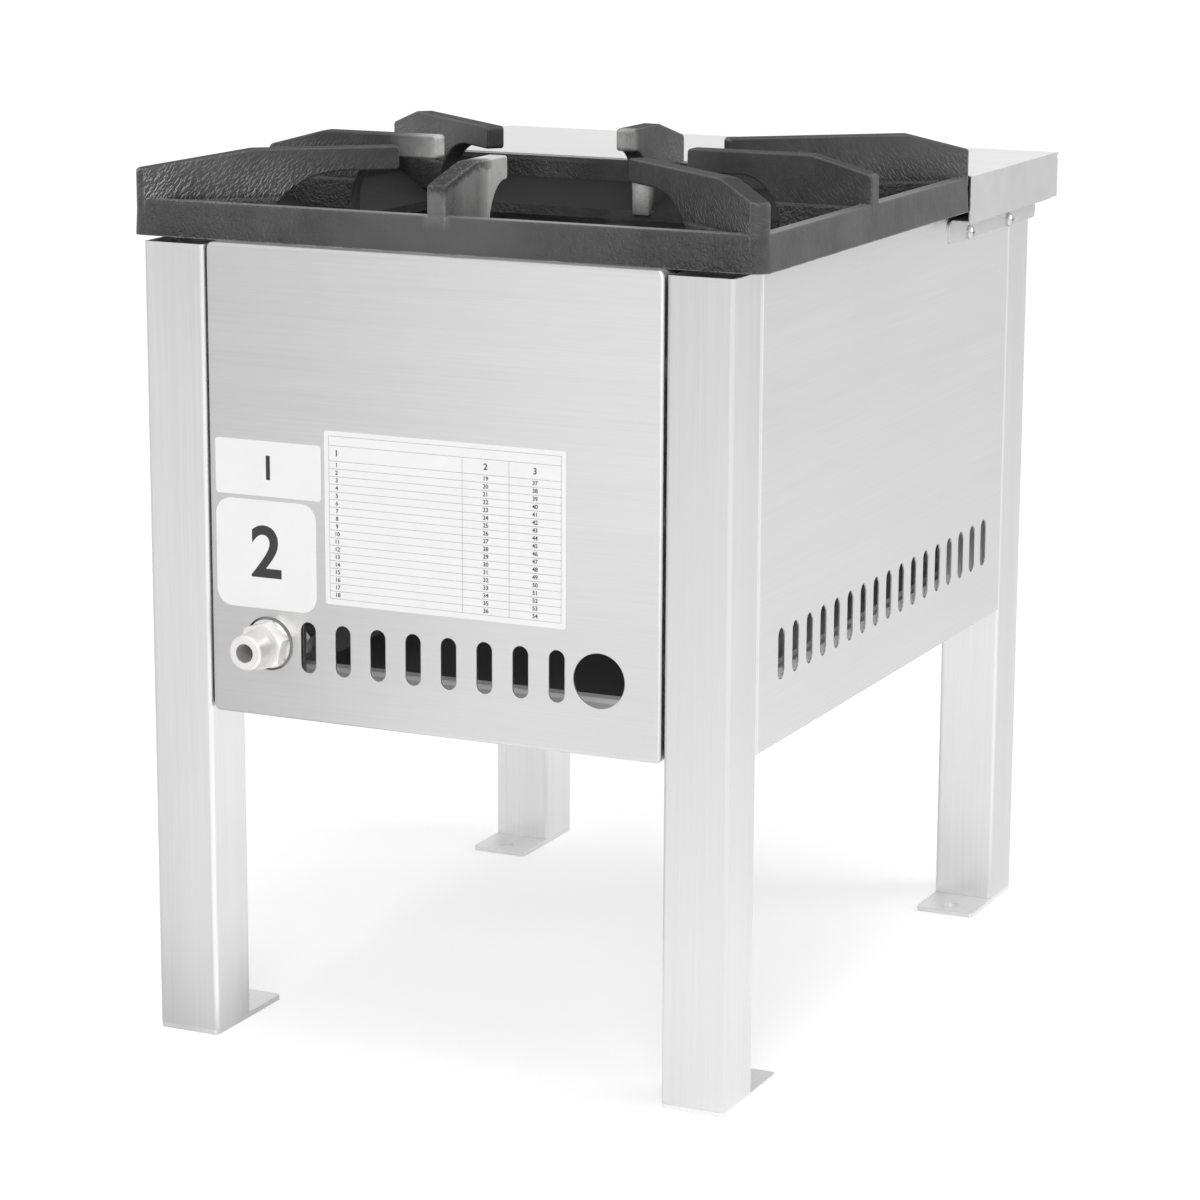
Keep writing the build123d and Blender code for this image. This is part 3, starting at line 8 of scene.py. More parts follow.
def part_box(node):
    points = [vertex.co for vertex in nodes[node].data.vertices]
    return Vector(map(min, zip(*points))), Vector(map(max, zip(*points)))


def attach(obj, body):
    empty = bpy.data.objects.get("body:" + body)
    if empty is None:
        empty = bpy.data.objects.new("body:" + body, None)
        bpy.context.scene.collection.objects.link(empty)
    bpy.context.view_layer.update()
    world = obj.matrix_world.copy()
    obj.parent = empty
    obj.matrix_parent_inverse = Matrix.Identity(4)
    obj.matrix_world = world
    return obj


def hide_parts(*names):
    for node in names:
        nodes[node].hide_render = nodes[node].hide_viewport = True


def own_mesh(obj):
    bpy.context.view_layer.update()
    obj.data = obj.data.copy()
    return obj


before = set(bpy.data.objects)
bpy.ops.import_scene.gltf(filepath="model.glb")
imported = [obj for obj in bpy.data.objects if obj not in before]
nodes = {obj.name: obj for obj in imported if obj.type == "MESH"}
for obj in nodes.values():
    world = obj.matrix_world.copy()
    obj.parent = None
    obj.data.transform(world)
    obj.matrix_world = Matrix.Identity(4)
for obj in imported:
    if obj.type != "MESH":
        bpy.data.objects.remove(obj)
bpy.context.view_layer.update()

# ---------------------------------------------------------------- places read from the frame, in metres
X, Y, Z = range(3)
support_low, support_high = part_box("pan_support")
plates_low, plates_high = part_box("rear_labels")
scale_low, scale_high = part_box("knob_scale")
TRAY_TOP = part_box("drip_tray")[1][Z]

# Pan support: its middle, the top of a finger from its kink inwards, the top of a finger at the rim's
# outer face, the top of the rim, the rim's rear face, and how far in from that face the kink lies
SUPPORT_MIDDLE = (0.0, (support_low[Y] + support_high[Y]) / 2, 0.0)
FINGER_TOP = support_high[Z]
FINGER_END = FINGER_TOP - 0.0102
RIM_TOP = FINGER_TOP - 0.0274
RIM_REAR = support_high[Y] - 0.0006
KINK = 0.0385

# Half the width over which the middle rear finger is worn, and places on it, in from the rim's rear
# face: where its wear starts and is full, where the dark band along its top thins out and has ended,
# and where the finger ends
WEAR_HALF = 0.007
WEAR_START = 0.010
WEAR_FULL = 0.064
BAND_THINS = 0.045
BAND_ENDS = 0.060
WEAR_ENDS = 0.084

# Distances from the middle of the pan support at which the ridges start to deepen, and are deepest
RIDGES_START = 0.115
RIDGES_FULL = 0.175

# Worn finger ends: x, y, z and reach, from a point past the end of the finger for the larger ones
WORN = (
    (0.0520, 0.0726, 0.520, 0.066),
    (0.0040, -0.0020, 0.522, 0.026),
    (0.0000, 0.1450, 0.530, 0.034),
    (0.0000, -0.0280, 0.490, 0.023),
)

# Drip tray: the height of the hem along its top, how softly the painted shadow that the hem casts starts
# below it, and where the painted shade on the tray's bottom starts and is full, from front to rear
HEM = 0.0024
HEM_FADE = 0.0010
TRAY_SHADE_START = -0.05
TRAY_SHADE_FULL = 0.04

# Heights at which the panels' painted shade starts on the way down, and where it is darkest
LOW_SHADE_START = 0.37
LOW_SHADE_FULL = 0.25

# How far a face looks in, as the distance of its plane from the object's upright middle line, where the
# painted shade on it starts and where it is darkest
INWARD_SHADE_START = -0.10
INWARD_SHADE_FULL = -0.14

# How wide the wear and painted highlight along the pan support's edges are
EDGE_RADIUS = 0.0013

# ---------------------------------------------------------------- node helpers
# Nearly all values of a noise lie between these two
NOISE_LOW = 0.3
NOISE_HIGH = 0.7

# A face doesn't look along an axis up to the first of these shares, and does from the second on
FACING_START = 0.5
FACING_FULL = 0.9

# Cosines between the rounded and the flat direction of a face where an edge starts and where it is full
EDGE_START = 0.99
EDGE_FULL = 0.90

# Added to a tangent, so that it isn't nothing where a face looks along the brush lines
NUDGE = (0.001, 0.002, 0.003)

# Times a direction, it leaves the level part of it
LEVEL = (1.0, 1.0, 0.0)


def grey(value):
    return (value, value, value)


def shaded(colour, share):
    """A colour made darker or lighter by a share."""
    return tuple(min(1.0, part * share) for part in colour)


class Tree:
    """The node tree of a material or of the world, built by short calls."""

    def __init__(self, owner, output="ShaderNodeOutputMaterial"):
        owner.use_nodes = True
        self.owner = owner
        self.nodes = owner.node_tree.nodes
        self.links = owner.node_tree.links
        self.nodes.clear()
        self.out = self.nodes.new(output)

    def feed(self, socket, value):
        """Give an input its link or its value, which for a colour is three numbers."""
        if isinstance(value, bpy.types.NodeSocket):
            self.links.new(value, socket)
        elif socket.type == "RGBA":
            socket.default_value = (*value, 1.0)
        else:
            socket.default_value = value

    def add(self, kind, values=None, **settings):
        """A node of one kind, with its settings and with values or links for its inputs."""
        node = self.nodes.new(kind)
        for key, value in settings.items():
            setattr(node, key, value)
        for key, value in (values or {}).items():
            self.feed(node.inputs[key], value)
        return node

    def end(self, node):
        """Show what a shader node gives."""
        self.links.new(node.outputs[0], self.out.inputs[0])

    def shader(self, **values):
        """End in a principled shader. An underscore in an input's name stands for its space."""
        values = {key.replace("_", " "): value for key, value in values.items()}
        self.end(self.add("ShaderNodeBsdfPrincipled", values))

    @cached_property
    def coord(self):
        """The place of a point, in the object's own axes."""
        return self.add("ShaderNodeTexCoord").outputs["Object"]

    @cached_property
    def normal(self):
        """The way a face looks, in the object's own axes."""
        return self.add("ShaderNodeTexCoord").outputs["Normal"]

    @cached_property
    def flat(self):
        """The way a face looks in the world, without bumps."""
        return self.add("ShaderNodeNewGeometry").outputs["Normal"]

    def part(self, vector, axis):
        """One of a vector's three numbers."""
        return self.add("ShaderNodeSeparateXYZ", {0: vector}).outputs[axis]

    def axis(self, name):
        """A point's place along one of the object's axes."""
        return self.part(self.coord, name)

    def off_middle(self, name):
        """How far a point lies from the middle along an axis, either way."""
        return self.math("ABSOLUTE", self.axis(name))

    def facing(self, name):
        """How far a face looks along one of the object's axes, either way, from 0 to 1."""
        return self.math("ABSOLUTE", self.part(self.normal, name))

    def looking(self, name):
        """1 on the faces that look along one of the object's axes, either way."""
        return self.remap(self.facing(name), FACING_START, FACING_FULL)

    def math(self, kind, a, b=0.0):
        return self.add("ShaderNodeMath", {0: a, 1: b}, operation=kind).outputs[0]

    def vector(self, kind, *vectors):
        """A vector, or the number that a dot product, distance or length gives."""
        node = self.add("ShaderNodeVectorMath", dict(enumerate(vectors)), operation=kind)
        is_number = kind in ("DOT_PRODUCT", "DISTANCE", "LENGTH")
        return node.outputs["Value" if is_number else "Vector"]

    def times(self, *factors):
        total = factors[0]
        for factor in factors[1:]:
            total = self.math("MULTIPLY", total, factor)
        return total

    def remap(self, value, start, end, at_start=0.0, at_end=1.0):
        """at_start at the value start, at_end at the value end, even between them, level beyond."""
        return self.add("ShaderNodeMapRange", {"Value": value, "From Min": start, "From Max": end,
                                               "To Min": at_start, "To Max": at_end}).outputs[0]

    def spread(self, noise, low, high):
        """A number from low to high, as a noise has it."""
        return self.remap(noise, NOISE_LOW, NOISE_HIGH, low, high)

    def noise(self, vector, scale, detail, rough, distortion=0.0):
        """A noise whose scale is per metre: at 1000, its marks are about a millimetre across."""
        return self.add("ShaderNodeTexNoise", {"Vector": vector, "Scale": scale, "Detail": detail,
                                               "Roughness": rough, "Distortion": distortion}).outputs["Fac"]

    def cells(self, vector, scale):
        """The distance from the middles of cells, whose scale is per metre too."""
        return self.add("ShaderNodeTexVoronoi", {"Vector": vector, "Scale": scale}).outputs["Distance"]

    def ramp(self, value, *stops):
        """Greys or colours, each at its own place along a value."""
        node = self.add("ShaderNodeValToRGB", {"Fac": value})
        elements = node.color_ramp.elements
        while len(elements) < len(stops):
            elements.new(0.5)
        for element, (at, tone) in zip(elements, stops):
            element.position = at
            element.color = (*(tone if isinstance(tone, tuple) else grey(tone)), 1.0)
        return node.outputs["Color"]

    def tones(self, noise, dark, light):
        """A grey or colour from dark to light, as a noise has it."""
        return self.ramp(noise, (NOISE_LOW, dark), (NOISE_HIGH, light))

    def mix(self, factor, a, b):
        """Colour a where the factor is 0 and b where it is 1. Both are in the node's inputs 6 and 7."""
        return self.add("ShaderNodeMix", {0: factor, 6: a, 7: b}, data_type="RGBA").outputs[2]

    def bump(self, height, strength, distance, normal=None):
        values = {"Height": height, "Strength": strength, "Distance": distance}
        if normal is not None:
            values["Normal"] = normal
        return self.add("ShaderNodeBump", values).outputs[0]

    def rounded(self, radius, samples=4):
        return self.add("ShaderNodeBevel", {"Radius": radius}, samples=samples).outputs[0]

    def edges(self, radius):
        """1 at the edges of a piece, out to radius from them, and 0 on its flat faces."""
        same = self.vector("DOT_PRODUCT", self.rounded(radius, samples=6), self.flat)
        return self.remap(same, EDGE_START, EDGE_FULL)

    def across(self, along):
        """Direction on a face that is square to lines along one of the axes."""
        line = [0.0, 0.0, 0.0]
        line[along] = 1.0
        return self.vector("ADD", self.vector("CROSS_PRODUCT", self.flat, line), NUDGE)


# ---------------------------------------------------------------- masks for painted shade and shadow on sheet and tube
def sideways(tree):
    """1 on the faces that look left or right."""
    return tree.looking("X")


def endways(tree):
    """1 on the faces that look to the front or to the rear."""
    return tree.looking("Y")


def painted_shade_low(tree):
    """1 towards the foot of the panels, where their sheet takes a little painted shade."""
    return tree.remap(tree.axis("Z"), LOW_SHADE_START, LOW_SHADE_FULL)


def inward_painted_shade(tree):
    """1 on the faces that look in towards the object's upright middle line, which take a painted shade."""
    out = tree.vector("DOT_PRODUCT", tree.normal, tree.vector("MULTIPLY", tree.coord, LEVEL))
    return tree.remap(out, INWARD_SHADE_START, INWARD_SHADE_FULL)


def below_hem(tree):
    """1 on the drip tray below the rolled hem along its top, where the hem casts a painted shadow."""
    return tree.remap(tree.axis("Z"), TRAY_TOP - HEM, TRAY_TOP - HEM - HEM_FADE)


def tray_bottom_painted_shade(tree):
    """1 on the drip tray's bottom under the burner and behind it, which takes a painted shade."""
    towards_rear = tree.remap(tree.axis("Y"), TRAY_SHADE_START, TRAY_SHADE_FULL)
    return tree.times(tree.looking("Z"), below_hem(tree), towards_rear)


# ---------------------------------------------------------------- brushed stainless
# How close its fine streaks and its broad bands lie across the brush lines and along them, and how
# close its clouds lie, per metre, and the share of each in its marks
STREAK_SCALES = (900.0, 9.0)
BAND_SCALES = (55.0, 1.5)
CLOUD_SCALE = 6.0
STREAK_SHARE = 0.45
BAND_SHARE = 0.30
CLOUD_SHARE = 0.25


def brush_lines(tree, along, scales, detail, rough):
    """A noise drawn out along one axis."""
    scale = [scales[0]] * 3
    scale[along] = scales[1]
    stretched = tree.add("ShaderNodeMapping", {"Vector": tree.coord, "Scale": scale}).outputs[0]
    return tree.noise(stretched, 1.0, detail, rough)


def brushed(name, base, roughness, along, metallic=1.0, tone=0.06, painted_shades=()):
    """Brushed stainless, with its brush lines along one axis. Each painted shade is a mask and the share
    of the tone that is left where the mask is 1."""
    tree = Tree(bpy.data.materials.new(name))
    streak = brush_lines(tree, along, STREAK_SCALES, detail=3.0, rough=0.6)
    band = brush_lines(tree, along, BAND_SCALES, detail=2.0, rough=0.5)
    cloud = tree.noise(tree.coord, CLOUD_SCALE, 3.0, 0.5)
    marks = tree.math("ADD", tree.times(streak, STREAK_SHARE), tree.times(band, BAND_SHARE))
    marks = tree.math("ADD", marks, tree.times(cloud, CLOUD_SHARE))
    colour = tree.tones(marks, base * (1 - tone), base * (1 + tone))
    # Each mask darkens the tone: a painted shade or shadow
    for mask, share in painted_shades:
        colour = tree.times(colour, tree.remap(mask(tree), 0.0, 1.0, 1.0, share))
    tree.shader(Base_Color=colour, Metallic=metallic, Anisotropic=0.8, Tangent=tree.across(along),
                Roughness=tree.spread(marks, roughness - 0.05, roughness + 0.06),
                Normal=tree.bump(streak, strength=0.10, distance=0.0004, normal=tree.rounded(0.0006)))
    return tree.owner


def lit_and_shaded_tube(name, ends, sides, roughness=0.34):
    """Brushed square tube whose front and rear faces and sides take their own tones: painted light and
    shade.
    """
    base = max(ends, sides)
    return brushed(name, base, roughness, Z, painted_shades=((endways, ends / base), (sideways, sides / base)))


# ---------------------------------------------------------------- coated cast iron
# Ridges on the fingers: how steeply they rise, in degrees, how close they lie across and along
# themselves, per metre, and round the middle, per radian, and the step aside that finds their lit side
RIDGE_RISE = 50
RIDGES_ACROSS = 760.0
RIDGES_ALONG = 300.0
RIDGES_ROUND = 45.0
LIT_STEP = 0.45

# What is left of the ridges and wrinkles where the skin is smooth
FAINT = 0.12

# Tones of the coating: its painted highlight along its ridges, its specks, its edges rubbed light by wear
# and a painted highlight, and its painted sheen on the top of the rim. Tone of the pits in the bare iron
RIDGE_HIGHLIGHT_TONE = 0.60
SPECK_TONE = 0.42
EDGE_WEAR_HIGHLIGHT_TONE = 0.40
RIM_SHEEN_TONE = 0.22
PIT_TONE = 0.12


def from_centre(tree):
    """The level way from the middle of the pan support to a point, its length and its direction."""
    level = tree.vector("MULTIPLY", tree.vector("SUBTRACT", tree.coord, SUPPORT_MIDDLE), LEVEL)
    return level, tree.vector("LENGTH", level), tree.vector("NORMALIZE", level)


def looks_out(tree):
    """How far a face looks away from the middle of the pan support, from -1 to 1."""
    direction = from_centre(tree)[2]
    return tree.vector("DOT_PRODUCT", tree.normal, direction)


def outer_side(tree):
    """1 on faces that look away from the middle of the pan support."""
    return tree.remap(looks_out(tree), 0.4, 0.6)


def level_top(tree):
    """1 on faces that look straight up or down."""
    return tree.remap(tree.facing("Z"), 0.75, 0.95)


def finger_tops(tree):
    """How sooty the tops of the fingers are, from 0 to 1."""
    above_rim = tree.remap(tree.axis("Z"), RIM_TOP + 0.001, RIM_TOP + 0.003)
    return tree.times(level_top(tree), above_rim, 0.8)


def rim_top_painted_sheen(tree):
    """How strongly the top of the rim takes a painted sheen, from 0 to 1."""
    from_top = tree.math("ABSOLUTE", tree.math("SUBTRACT", tree.axis("Z"), RIM_TOP))
    return tree.times(level_top(tree), tree.remap(from_top, 0.0012, 0.0008), 0.8)


def inner_flange(tree):
    """How sooty the upper face of the flange inside the rim is, and what lies level below it."""
    low = tree.remap(tree.axis("Z"), RIM_TOP - 0.006, RIM_TOP - 0.012)
    return tree.times(low, tree.remap(tree.facing("Z"), 0.6, 0.9), 0.95)


def worn_and_highlit_edges(tree):
    """1 along the edges of the fingers and of the rim's outer side, where the coating wears first and a
    painted highlight lies.
    """
    above_flange = tree.remap(tree.axis("Z"), RIM_TOP - 0.026, RIM_TOP - 0.022)
    at_top = tree.remap(tree.axis("Z"), RIM_TOP - 0.005, RIM_TOP - 0.003)
    outside = tree.math("MAXIMUM", at_top, outer_side(tree))
    return tree.times(tree.edges(EDGE_RADIUS), above_flange, outside)


def ridged_skin(tree):
    """How strongly the skin is ridged: most at the roots of the fingers' sides, less on the cook's
    left, and not at all on the rim."""
    away = from_centre(tree)[1]
    sides = tree.remap(tree.math("ABSOLUTE", looks_out(tree)), 0.35, 0.6, 1.0, FAINT)
    above_rim = tree.remap(tree.axis("Z"), RIM_TOP - 0.003, RIM_TOP + 0.001)
    below_top = tree.remap(tree.axis("Z"), FINGER_TOP - 0.002, FINGER_TOP - 0.024, 0.10, 1.0)
    outer = tree.remap(away, RIDGES_START, RIDGES_FULL, 0.15, 1.0)
    patches = tree.remap(tree.noise(tree.coord, 9.0, 2.0, 0.5), 0.38, 0.58, 0.35, 1.0)
    half = tree.remap(tree.axis("X"), -0.03, 0.03, 0.45, 1.0)
    return tree.times(above_rim, below_top, outer, patches, sides, half)


def rim_skin(tree):
    """How wrinkled the rim is: most at the ends of its front and rear faces."""
    below = tree.remap(tree.axis("Z"), RIM_TOP - 0.001, RIM_TOP - 0.003)
    ends = tree.remap(tree.off_middle("X"), 0.05, 0.14, FAINT, 1.0)
    faces = tree.remap(tree.facing("Y"), FACING_START, FACING_FULL, FAINT, 1.0)
    return tree.times(below, ends, faces)


def finger_ridges(tree):
    """Short slanting ridges that lean up and in along each finger: their height, and how much of
    their lit side shows, from -1 to 1."""
    level, away, _ = from_centre(tree)
    bearing = tree.math("ARCTAN2", tree.part(level, "Y"), tree.part(level, "X"))
    level_share = math.cos(math.radians(RIDGE_RISE))
    upright_share = math.sin(math.radians(RIDGE_RISE))
    z = tree.axis("Z")
    over = tree.math("ADD", tree.times(away, upright_share), tree.times(z, level_share))
    along = tree.math("SUBTRACT", tree.times(z, upright_share), tree.times(away, level_share))
    place = tree.add("ShaderNodeCombineXYZ", {"X": tree.times(over, RIDGES_ACROSS),
                                              "Y": tree.times(along, RIDGES_ALONG),
                                              "Z": tree.times(bearing, RIDGES_ROUND)}).outputs[0]
    beside = tree.vector("ADD", place, (LIT_STEP, 0.0, 0.0))
    height, height_beside = (tree.noise(at, 1.0, 1.5, 0.5, 0.4) for at in (place, beside))
    return height, tree.math("SUBTRACT", height_beside, height)


def worn_mask(tree):
    """1 where the coating of the pan support has gone, in soft patches at some finger ends."""
    ragged = tree.noise(tree.coord, 90.0, 5.0, 0.6)
    total = rear_finger_wear(tree)
    for x, y, z, reach in WORN:
        away = tree.vector("DISTANCE", tree.coord, (x, y, z))
        patch = tree.remap(away, 0.0, reach, 1.0, 0.0)
        patch = tree.math("ADD", patch, tree.times(tree.math("SUBTRACT", ragged, 0.5), 0.25))
        total = tree.math("MAXIMUM", total, tree.ramp(patch, (0.05, 0.0), (0.32, 0.40), (0.60, 1.0)))
    return total


def rear_finger_wear(tree):
    """How worn the middle rear finger is along its side, with a dark band left along its sloped top."""
    y, z = tree.axis("Y"), tree.axis("Z")
    across = tree.remap(tree.off_middle("X"), WEAR_HALF, WEAR_HALF + 0.002, 1.0, 0.0)
    along = tree.remap(y, RIM_REAR - WEAR_START, RIM_REAR - WEAR_FULL)
    along = tree.ramp(along, (0.0, 0.16), (0.25, 0.42), (0.60, 0.34), (0.85, 0.85))
    inside = tree.remap(y, RIM_REAR - WEAR_ENDS - 0.001, RIM_REAR - WEAR_ENDS)
    top = tree.remap(y, RIM_REAR - KINK, RIM_REAR, FINGER_TOP, FINGER_END)
    ragged = tree.math("SUBTRACT", tree.noise(tree.coord, 140.0, 4.0, 0.6), 0.5)
    below = tree.math("ADD", tree.math("SUBTRACT", top, z), tree.times(ragged, 0.010))
    band = tree.remap(below, 0.003, 0.006)
    band = tree.math("MAXIMUM", band, tree.remap(y, RIM_REAR - BAND_THINS, RIM_REAR - BAND_ENDS))
    chips = tree.ramp(tree.noise(tree.coord, 700.0, 2.0, 0.6), (0.56, 0.0), (0.66, 0.8))
    low = tree.remap(z, RIM_TOP - 0.008, RIM_TOP + 0.004)
    low = tree.math("MAXIMUM", low, tree.remap(y, RIM_REAR - 0.008, RIM_REAR - 0.009))
    return tree.times(across, along, inside, tree.math("MAXIMUM", band, chips), low)


def smudged_coating(tree, base):
    """The dark coating in smudged tones, paler in the middle of the rim's front and rear faces."""
    smudge = tree.tones(tree.noise(tree.coord, 26.0, 4.0, 0.6), base * 0.65, base * 1.4)
    middle = tree.remap(tree.off_middle("X"), 0.10, 0.03)
    on_rim = tree.remap(tree.axis("Z"), RIM_TOP + 0.001, RIM_TOP)
    paler = tree.times(middle, on_rim, outer_side(tree))
    return tree.mix(tree.times(paler, 0.6), smudge, grey(base * 1.9))


def with_painted_ridge_shading(tree, colour, base, lit, skin):
    """The coating with a painted shade stroke and a painted highlight stroke at each ridge of its skin."""
    dark = tree.remap(lit, -0.01, -0.18)
    light = tree.remap(lit, 0.01, 0.20)
    colour = tree.mix(tree.times(dark, skin, 0.9), colour, grey(base * 0.2))
    return tree.mix(tree.times(light, skin, 0.9), colour, grey(RIDGE_HIGHLIGHT_TONE))


def with_specks(tree, colour):
    """The coating with small light specks in a few places."""
    speck = tree.ramp(tree.cells(tree.coord, 210.0), (0.035, 1.0), (0.06, 0.0))
    rare = tree.ramp(tree.noise(tree.coord, 45.0, 2.0, 0.5), (0.60, 0.0), (0.68, 1.0))
    return tree.mix(tree.times(speck, rare, 0.6), colour, grey(SPECK_TONE))


def with_worn_and_highlit_edges(tree, colour, edge):
    """The coating with its open edges rubbed light, partly by wear and partly as a painted highlight, more
    in some places than in others.
    """
    chipped = tree.remap(tree.noise(tree.coord, 60.0, 3.0, 0.6), 0.48, 0.60, 0.45, 1.0)
    return tree.mix(tree.times(edge, chipped, 0.9), colour, grey(EDGE_WEAR_HIGHLIGHT_TONE))


def bare_iron(tree, edge, worn):
    """Worn metal with small dark pits off the rim, and a painted highlight, near white, where it is most
    worn and at its edges.
    """
    cloud = tree.noise(tree.coord, 70.0, 4.0, 0.6)
    bare = tree.ramp(cloud, (0.35, (0.56, 0.56, 0.555)), (0.65, (0.72, 0.72, 0.71)))
    # Painted highlight, near white, where the metal is most worn
    bare = tree.mix(tree.remap(worn, 0.70, 1.0), bare, (0.93, 0.93, 0.92))
    pit = tree.ramp(tree.cells(tree.coord, 520.0), (0.16, 1.0), (0.26, 0.0))
    few = tree.ramp(tree.noise(tree.coord, 120.0, 2.0, 0.5), (0.54, 0.0), (0.64, 0.6))
    off_rim = tree.remap(tree.axis("Y"), RIM_REAR - 0.016, RIM_REAR - 0.024)
    bare = tree.mix(tree.times(pit, few, off_rim), bare, grey(PIT_TONE))
    # Painted highlight along the bare edges
    return tree.mix(tree.times(edge, off_rim), bare, (0.95, 0.95, 0.94))


def cast_relief(tree, grain, ridges, skin):
    """Lumps and grain all over, wrinkles on the rim and ridges on the fingers."""
    lumps = tree.noise(tree.coord, 75.0, 3.0, 0.55)
    wrinkles = tree.times(tree.noise(tree.coord, 420.0, 2.0, 0.5, distortion=1.0), rim_skin(tree))
    normal = tree.bump(lumps, strength=0.30, distance=0.0012)
    normal = tree.bump(grain, strength=0.20, distance=0.0002, normal=normal)
    normal = tree.bump(wrinkles, strength=1.0, distance=0.0016, normal=normal)
    return tree.bump(tree.times(ridges, skin), strength=1.0, distance=0.0012, normal=normal)


def cast_iron(name, base=0.058):
    """Coated casting: ridged skin on the fingers with painted light and shade along its ridges, smoother
    rim with a painted sheen on its top, light where the coating is worn, edges with wear and a painted
    highlight.
    """
    tree = Tree(bpy.data.materials.new(name))
    worn = worn_mask(tree)
    edge = worn_and_highlit_edges(tree)
    ridges, lit = finger_ridges(tree)
    skin = tree.times(ridged_skin(tree), tree.math("SUBTRACT", 1.0, worn))
    sooty = tree.math("MAXIMUM", inner_flange(tree), finger_tops(tree))
    grain = tree.noise(tree.coord, 1500.0, 2.0, 0.5)
    colour = smudged_coating(tree, base)
    # Painted highlight and painted shade along the ridges
    colour = with_painted_ridge_shading(tree, colour, base, lit, skin)
    colour = with_specks(tree, colour)
    colour = tree.mix(sooty, colour, grey(base * 0.30))
    # Painted sheen along the top of the rim
    colour = tree.mix(rim_top_painted_sheen(tree), colour, grey(RIM_SHEEN_TONE))
    # Edges rubbed light: partly wear, partly a painted highlight
    colour = with_worn_and_highlit_edges(tree, colour, edge)
    # Bare iron where worn, with its painted highlight
    colour = tree.mix(worn, colour, bare_iron(tree, edge, worn))
    tree.shader(Base_Color=colour, Metallic=0.2,
                Roughness=tree.math("MAXIMUM", tree.spread(grain, 0.38, 0.50), sooty),
                Normal=cast_relief(tree, grain, ridges, skin))
    return tree.owner


# ---------------------------------------------------------------- other materials
def plain_metal(name, colour, roughness, metallic=1.0, scale=180.0, tone=0.08, bump=0.04):
    """Turned, plated or drawn metal with faint marks."""
    tree = Tree(bpy.data.materials.new(name))
    marks = tree.noise(tree.coord, scale, 4.0, 0.55)
    tree.shader(Base_Color=tree.tones(marks, shaded(colour, 1 - tone), shaded(colour, 1 + tone)),
                Metallic=metallic, Roughness=tree.spread(marks, roughness - 0.05, roughness + 0.05),
                Normal=tree.bump(marks, strength=bump, distance=0.0004))
    return tree.owner


def plastic(name, colour, roughness, scale=900.0, tone=0.08):
    """Moulded plastic, rubber, ceramic or fibre with a fine grain."""
    tree = Tree(bpy.data.materials.new(name))
    grain = tree.noise(tree.coord, scale, 3.0, 0.5)
    tree.shader(Base_Color=tree.tones(grain, shaded(colour, 1 - tone), shaded(colour, 1 + tone)),
                Roughness=tree.spread(grain, roughness - 0.04, roughness + 0.06),
                Normal=tree.bump(grain, strength=0.15, distance=0.0003))
    return tree.owner


mats = {
    # Each leg is a lit or shaded copy of one brushed tube, its faces in painted light and shade
    "tube_rear_left": lit_and_shaded_tube("tube_rear_left", ends=0.63, sides=0.65, roughness=0.38),
    "tube_rear_right": lit_and_shaded_tube("tube_rear_right", ends=0.73, sides=0.80),
    "tube_front_left": lit_and_shaded_tube("tube_front_left", ends=0.72, sides=0.68),
    "tube_front_right": lit_and_shaded_tube("tube_front_right", ends=0.86, sides=0.86),
    "stainless_plate": brushed("stainless_plate", 0.78, 0.42, along=Y, tone=0.1),
    # Rear and front panels: painted shade towards their foot and on their inside faces
    "rear_sheet": brushed("rear_sheet", 0.66, 0.34, along=X, painted_shades=((painted_shade_low, 0.91), (inward_painted_shade, 0.30))),
    # Side panels: painted shade on their inside faces
    "side_sheet": brushed("side_sheet", 0.67, 0.36, along=Y, painted_shades=((inward_painted_shade, 0.55),)),
    # Deck sheet: painted shade on its side faces
    "deck_sheet": brushed("deck_sheet", 0.70, 0.34, along=X, painted_shades=((sideways, 0.84),)),
    # Inner rails, bars and brackets: a darker copy of the stainless, painted shade for the inside of the
    # range
    "shaded_inner_sheet": brushed("shaded_inner_sheet", 0.35, 0.44, along=X, tone=0.1),
    "runner_sheet": brushed("runner_sheet", 0.88, 0.48, along=Y, metallic=0.4, tone=0.1),
    # Drip tray: painted shadow under its hem and painted shade on its bottom towards the rear
    "tray_sheet": brushed("tray_sheet", 0.90, 0.50, along=X, metallic=0.3,
                          painted_shades=((below_hem, 0.66), (tray_bottom_painted_shade, 0.20))),
    "cast_iron": cast_iron("cast_iron"),
    "burner_iron": plain_metal("burner_iron", (0.08, 0.08, 0.078), 0.65, metallic=0.3, scale=240.0,
                               tone=0.25, bump=0.5),
    "bright": plain_metal("bright", (0.80, 0.80, 0.79), 0.2),
    "screw": plain_metal("screw", (0.56, 0.56, 0.56), 0.13),
    "nickel": plain_metal("nickel", (0.84, 0.83, 0.82), 0.36, metallic=0.6, scale=120.0, tone=0.05),
    "brass": plain_metal("brass", (0.72, 0.54, 0.25), 0.32),
    "steel": plain_metal("steel", (0.56, 0.56, 0.56), 0.36),
    "zinc": plain_metal("zinc", (0.62, 0.63, 0.65), 0.4, scale=60.0, tone=0.12),
    "aluminium": plain_metal("aluminium", (0.75, 0.75, 0.76), 0.38),
    "copper": plain_metal("copper", (0.72, 0.42, 0.28), 0.34),
    "washer": plain_metal("washer", (0.42, 0.42, 0.42), 0.5, metallic=0.6),
    "black_plastic": plastic("black_plastic", (0.035, 0.035, 0.035), 0.42),
    "red_plastic": plastic("red_plastic", (0.45, 0.03, 0.025), 0.32),
    "ceramic": plastic("ceramic", (0.86, 0.85, 0.81), 0.18, scale=400.0),
    "insulation": plastic("insulation", (0.72, 0.70, 0.66), 0.5),
    "label": plastic("label", (0.975, 0.975, 0.975), 0.4, scale=40.0, tone=0.015),
    "print": plastic("print", (0.03, 0.03, 0.03), 0.5),
    "rule_line": plastic("rule_line", (0.56, 0.57, 0.60), 0.5),
}

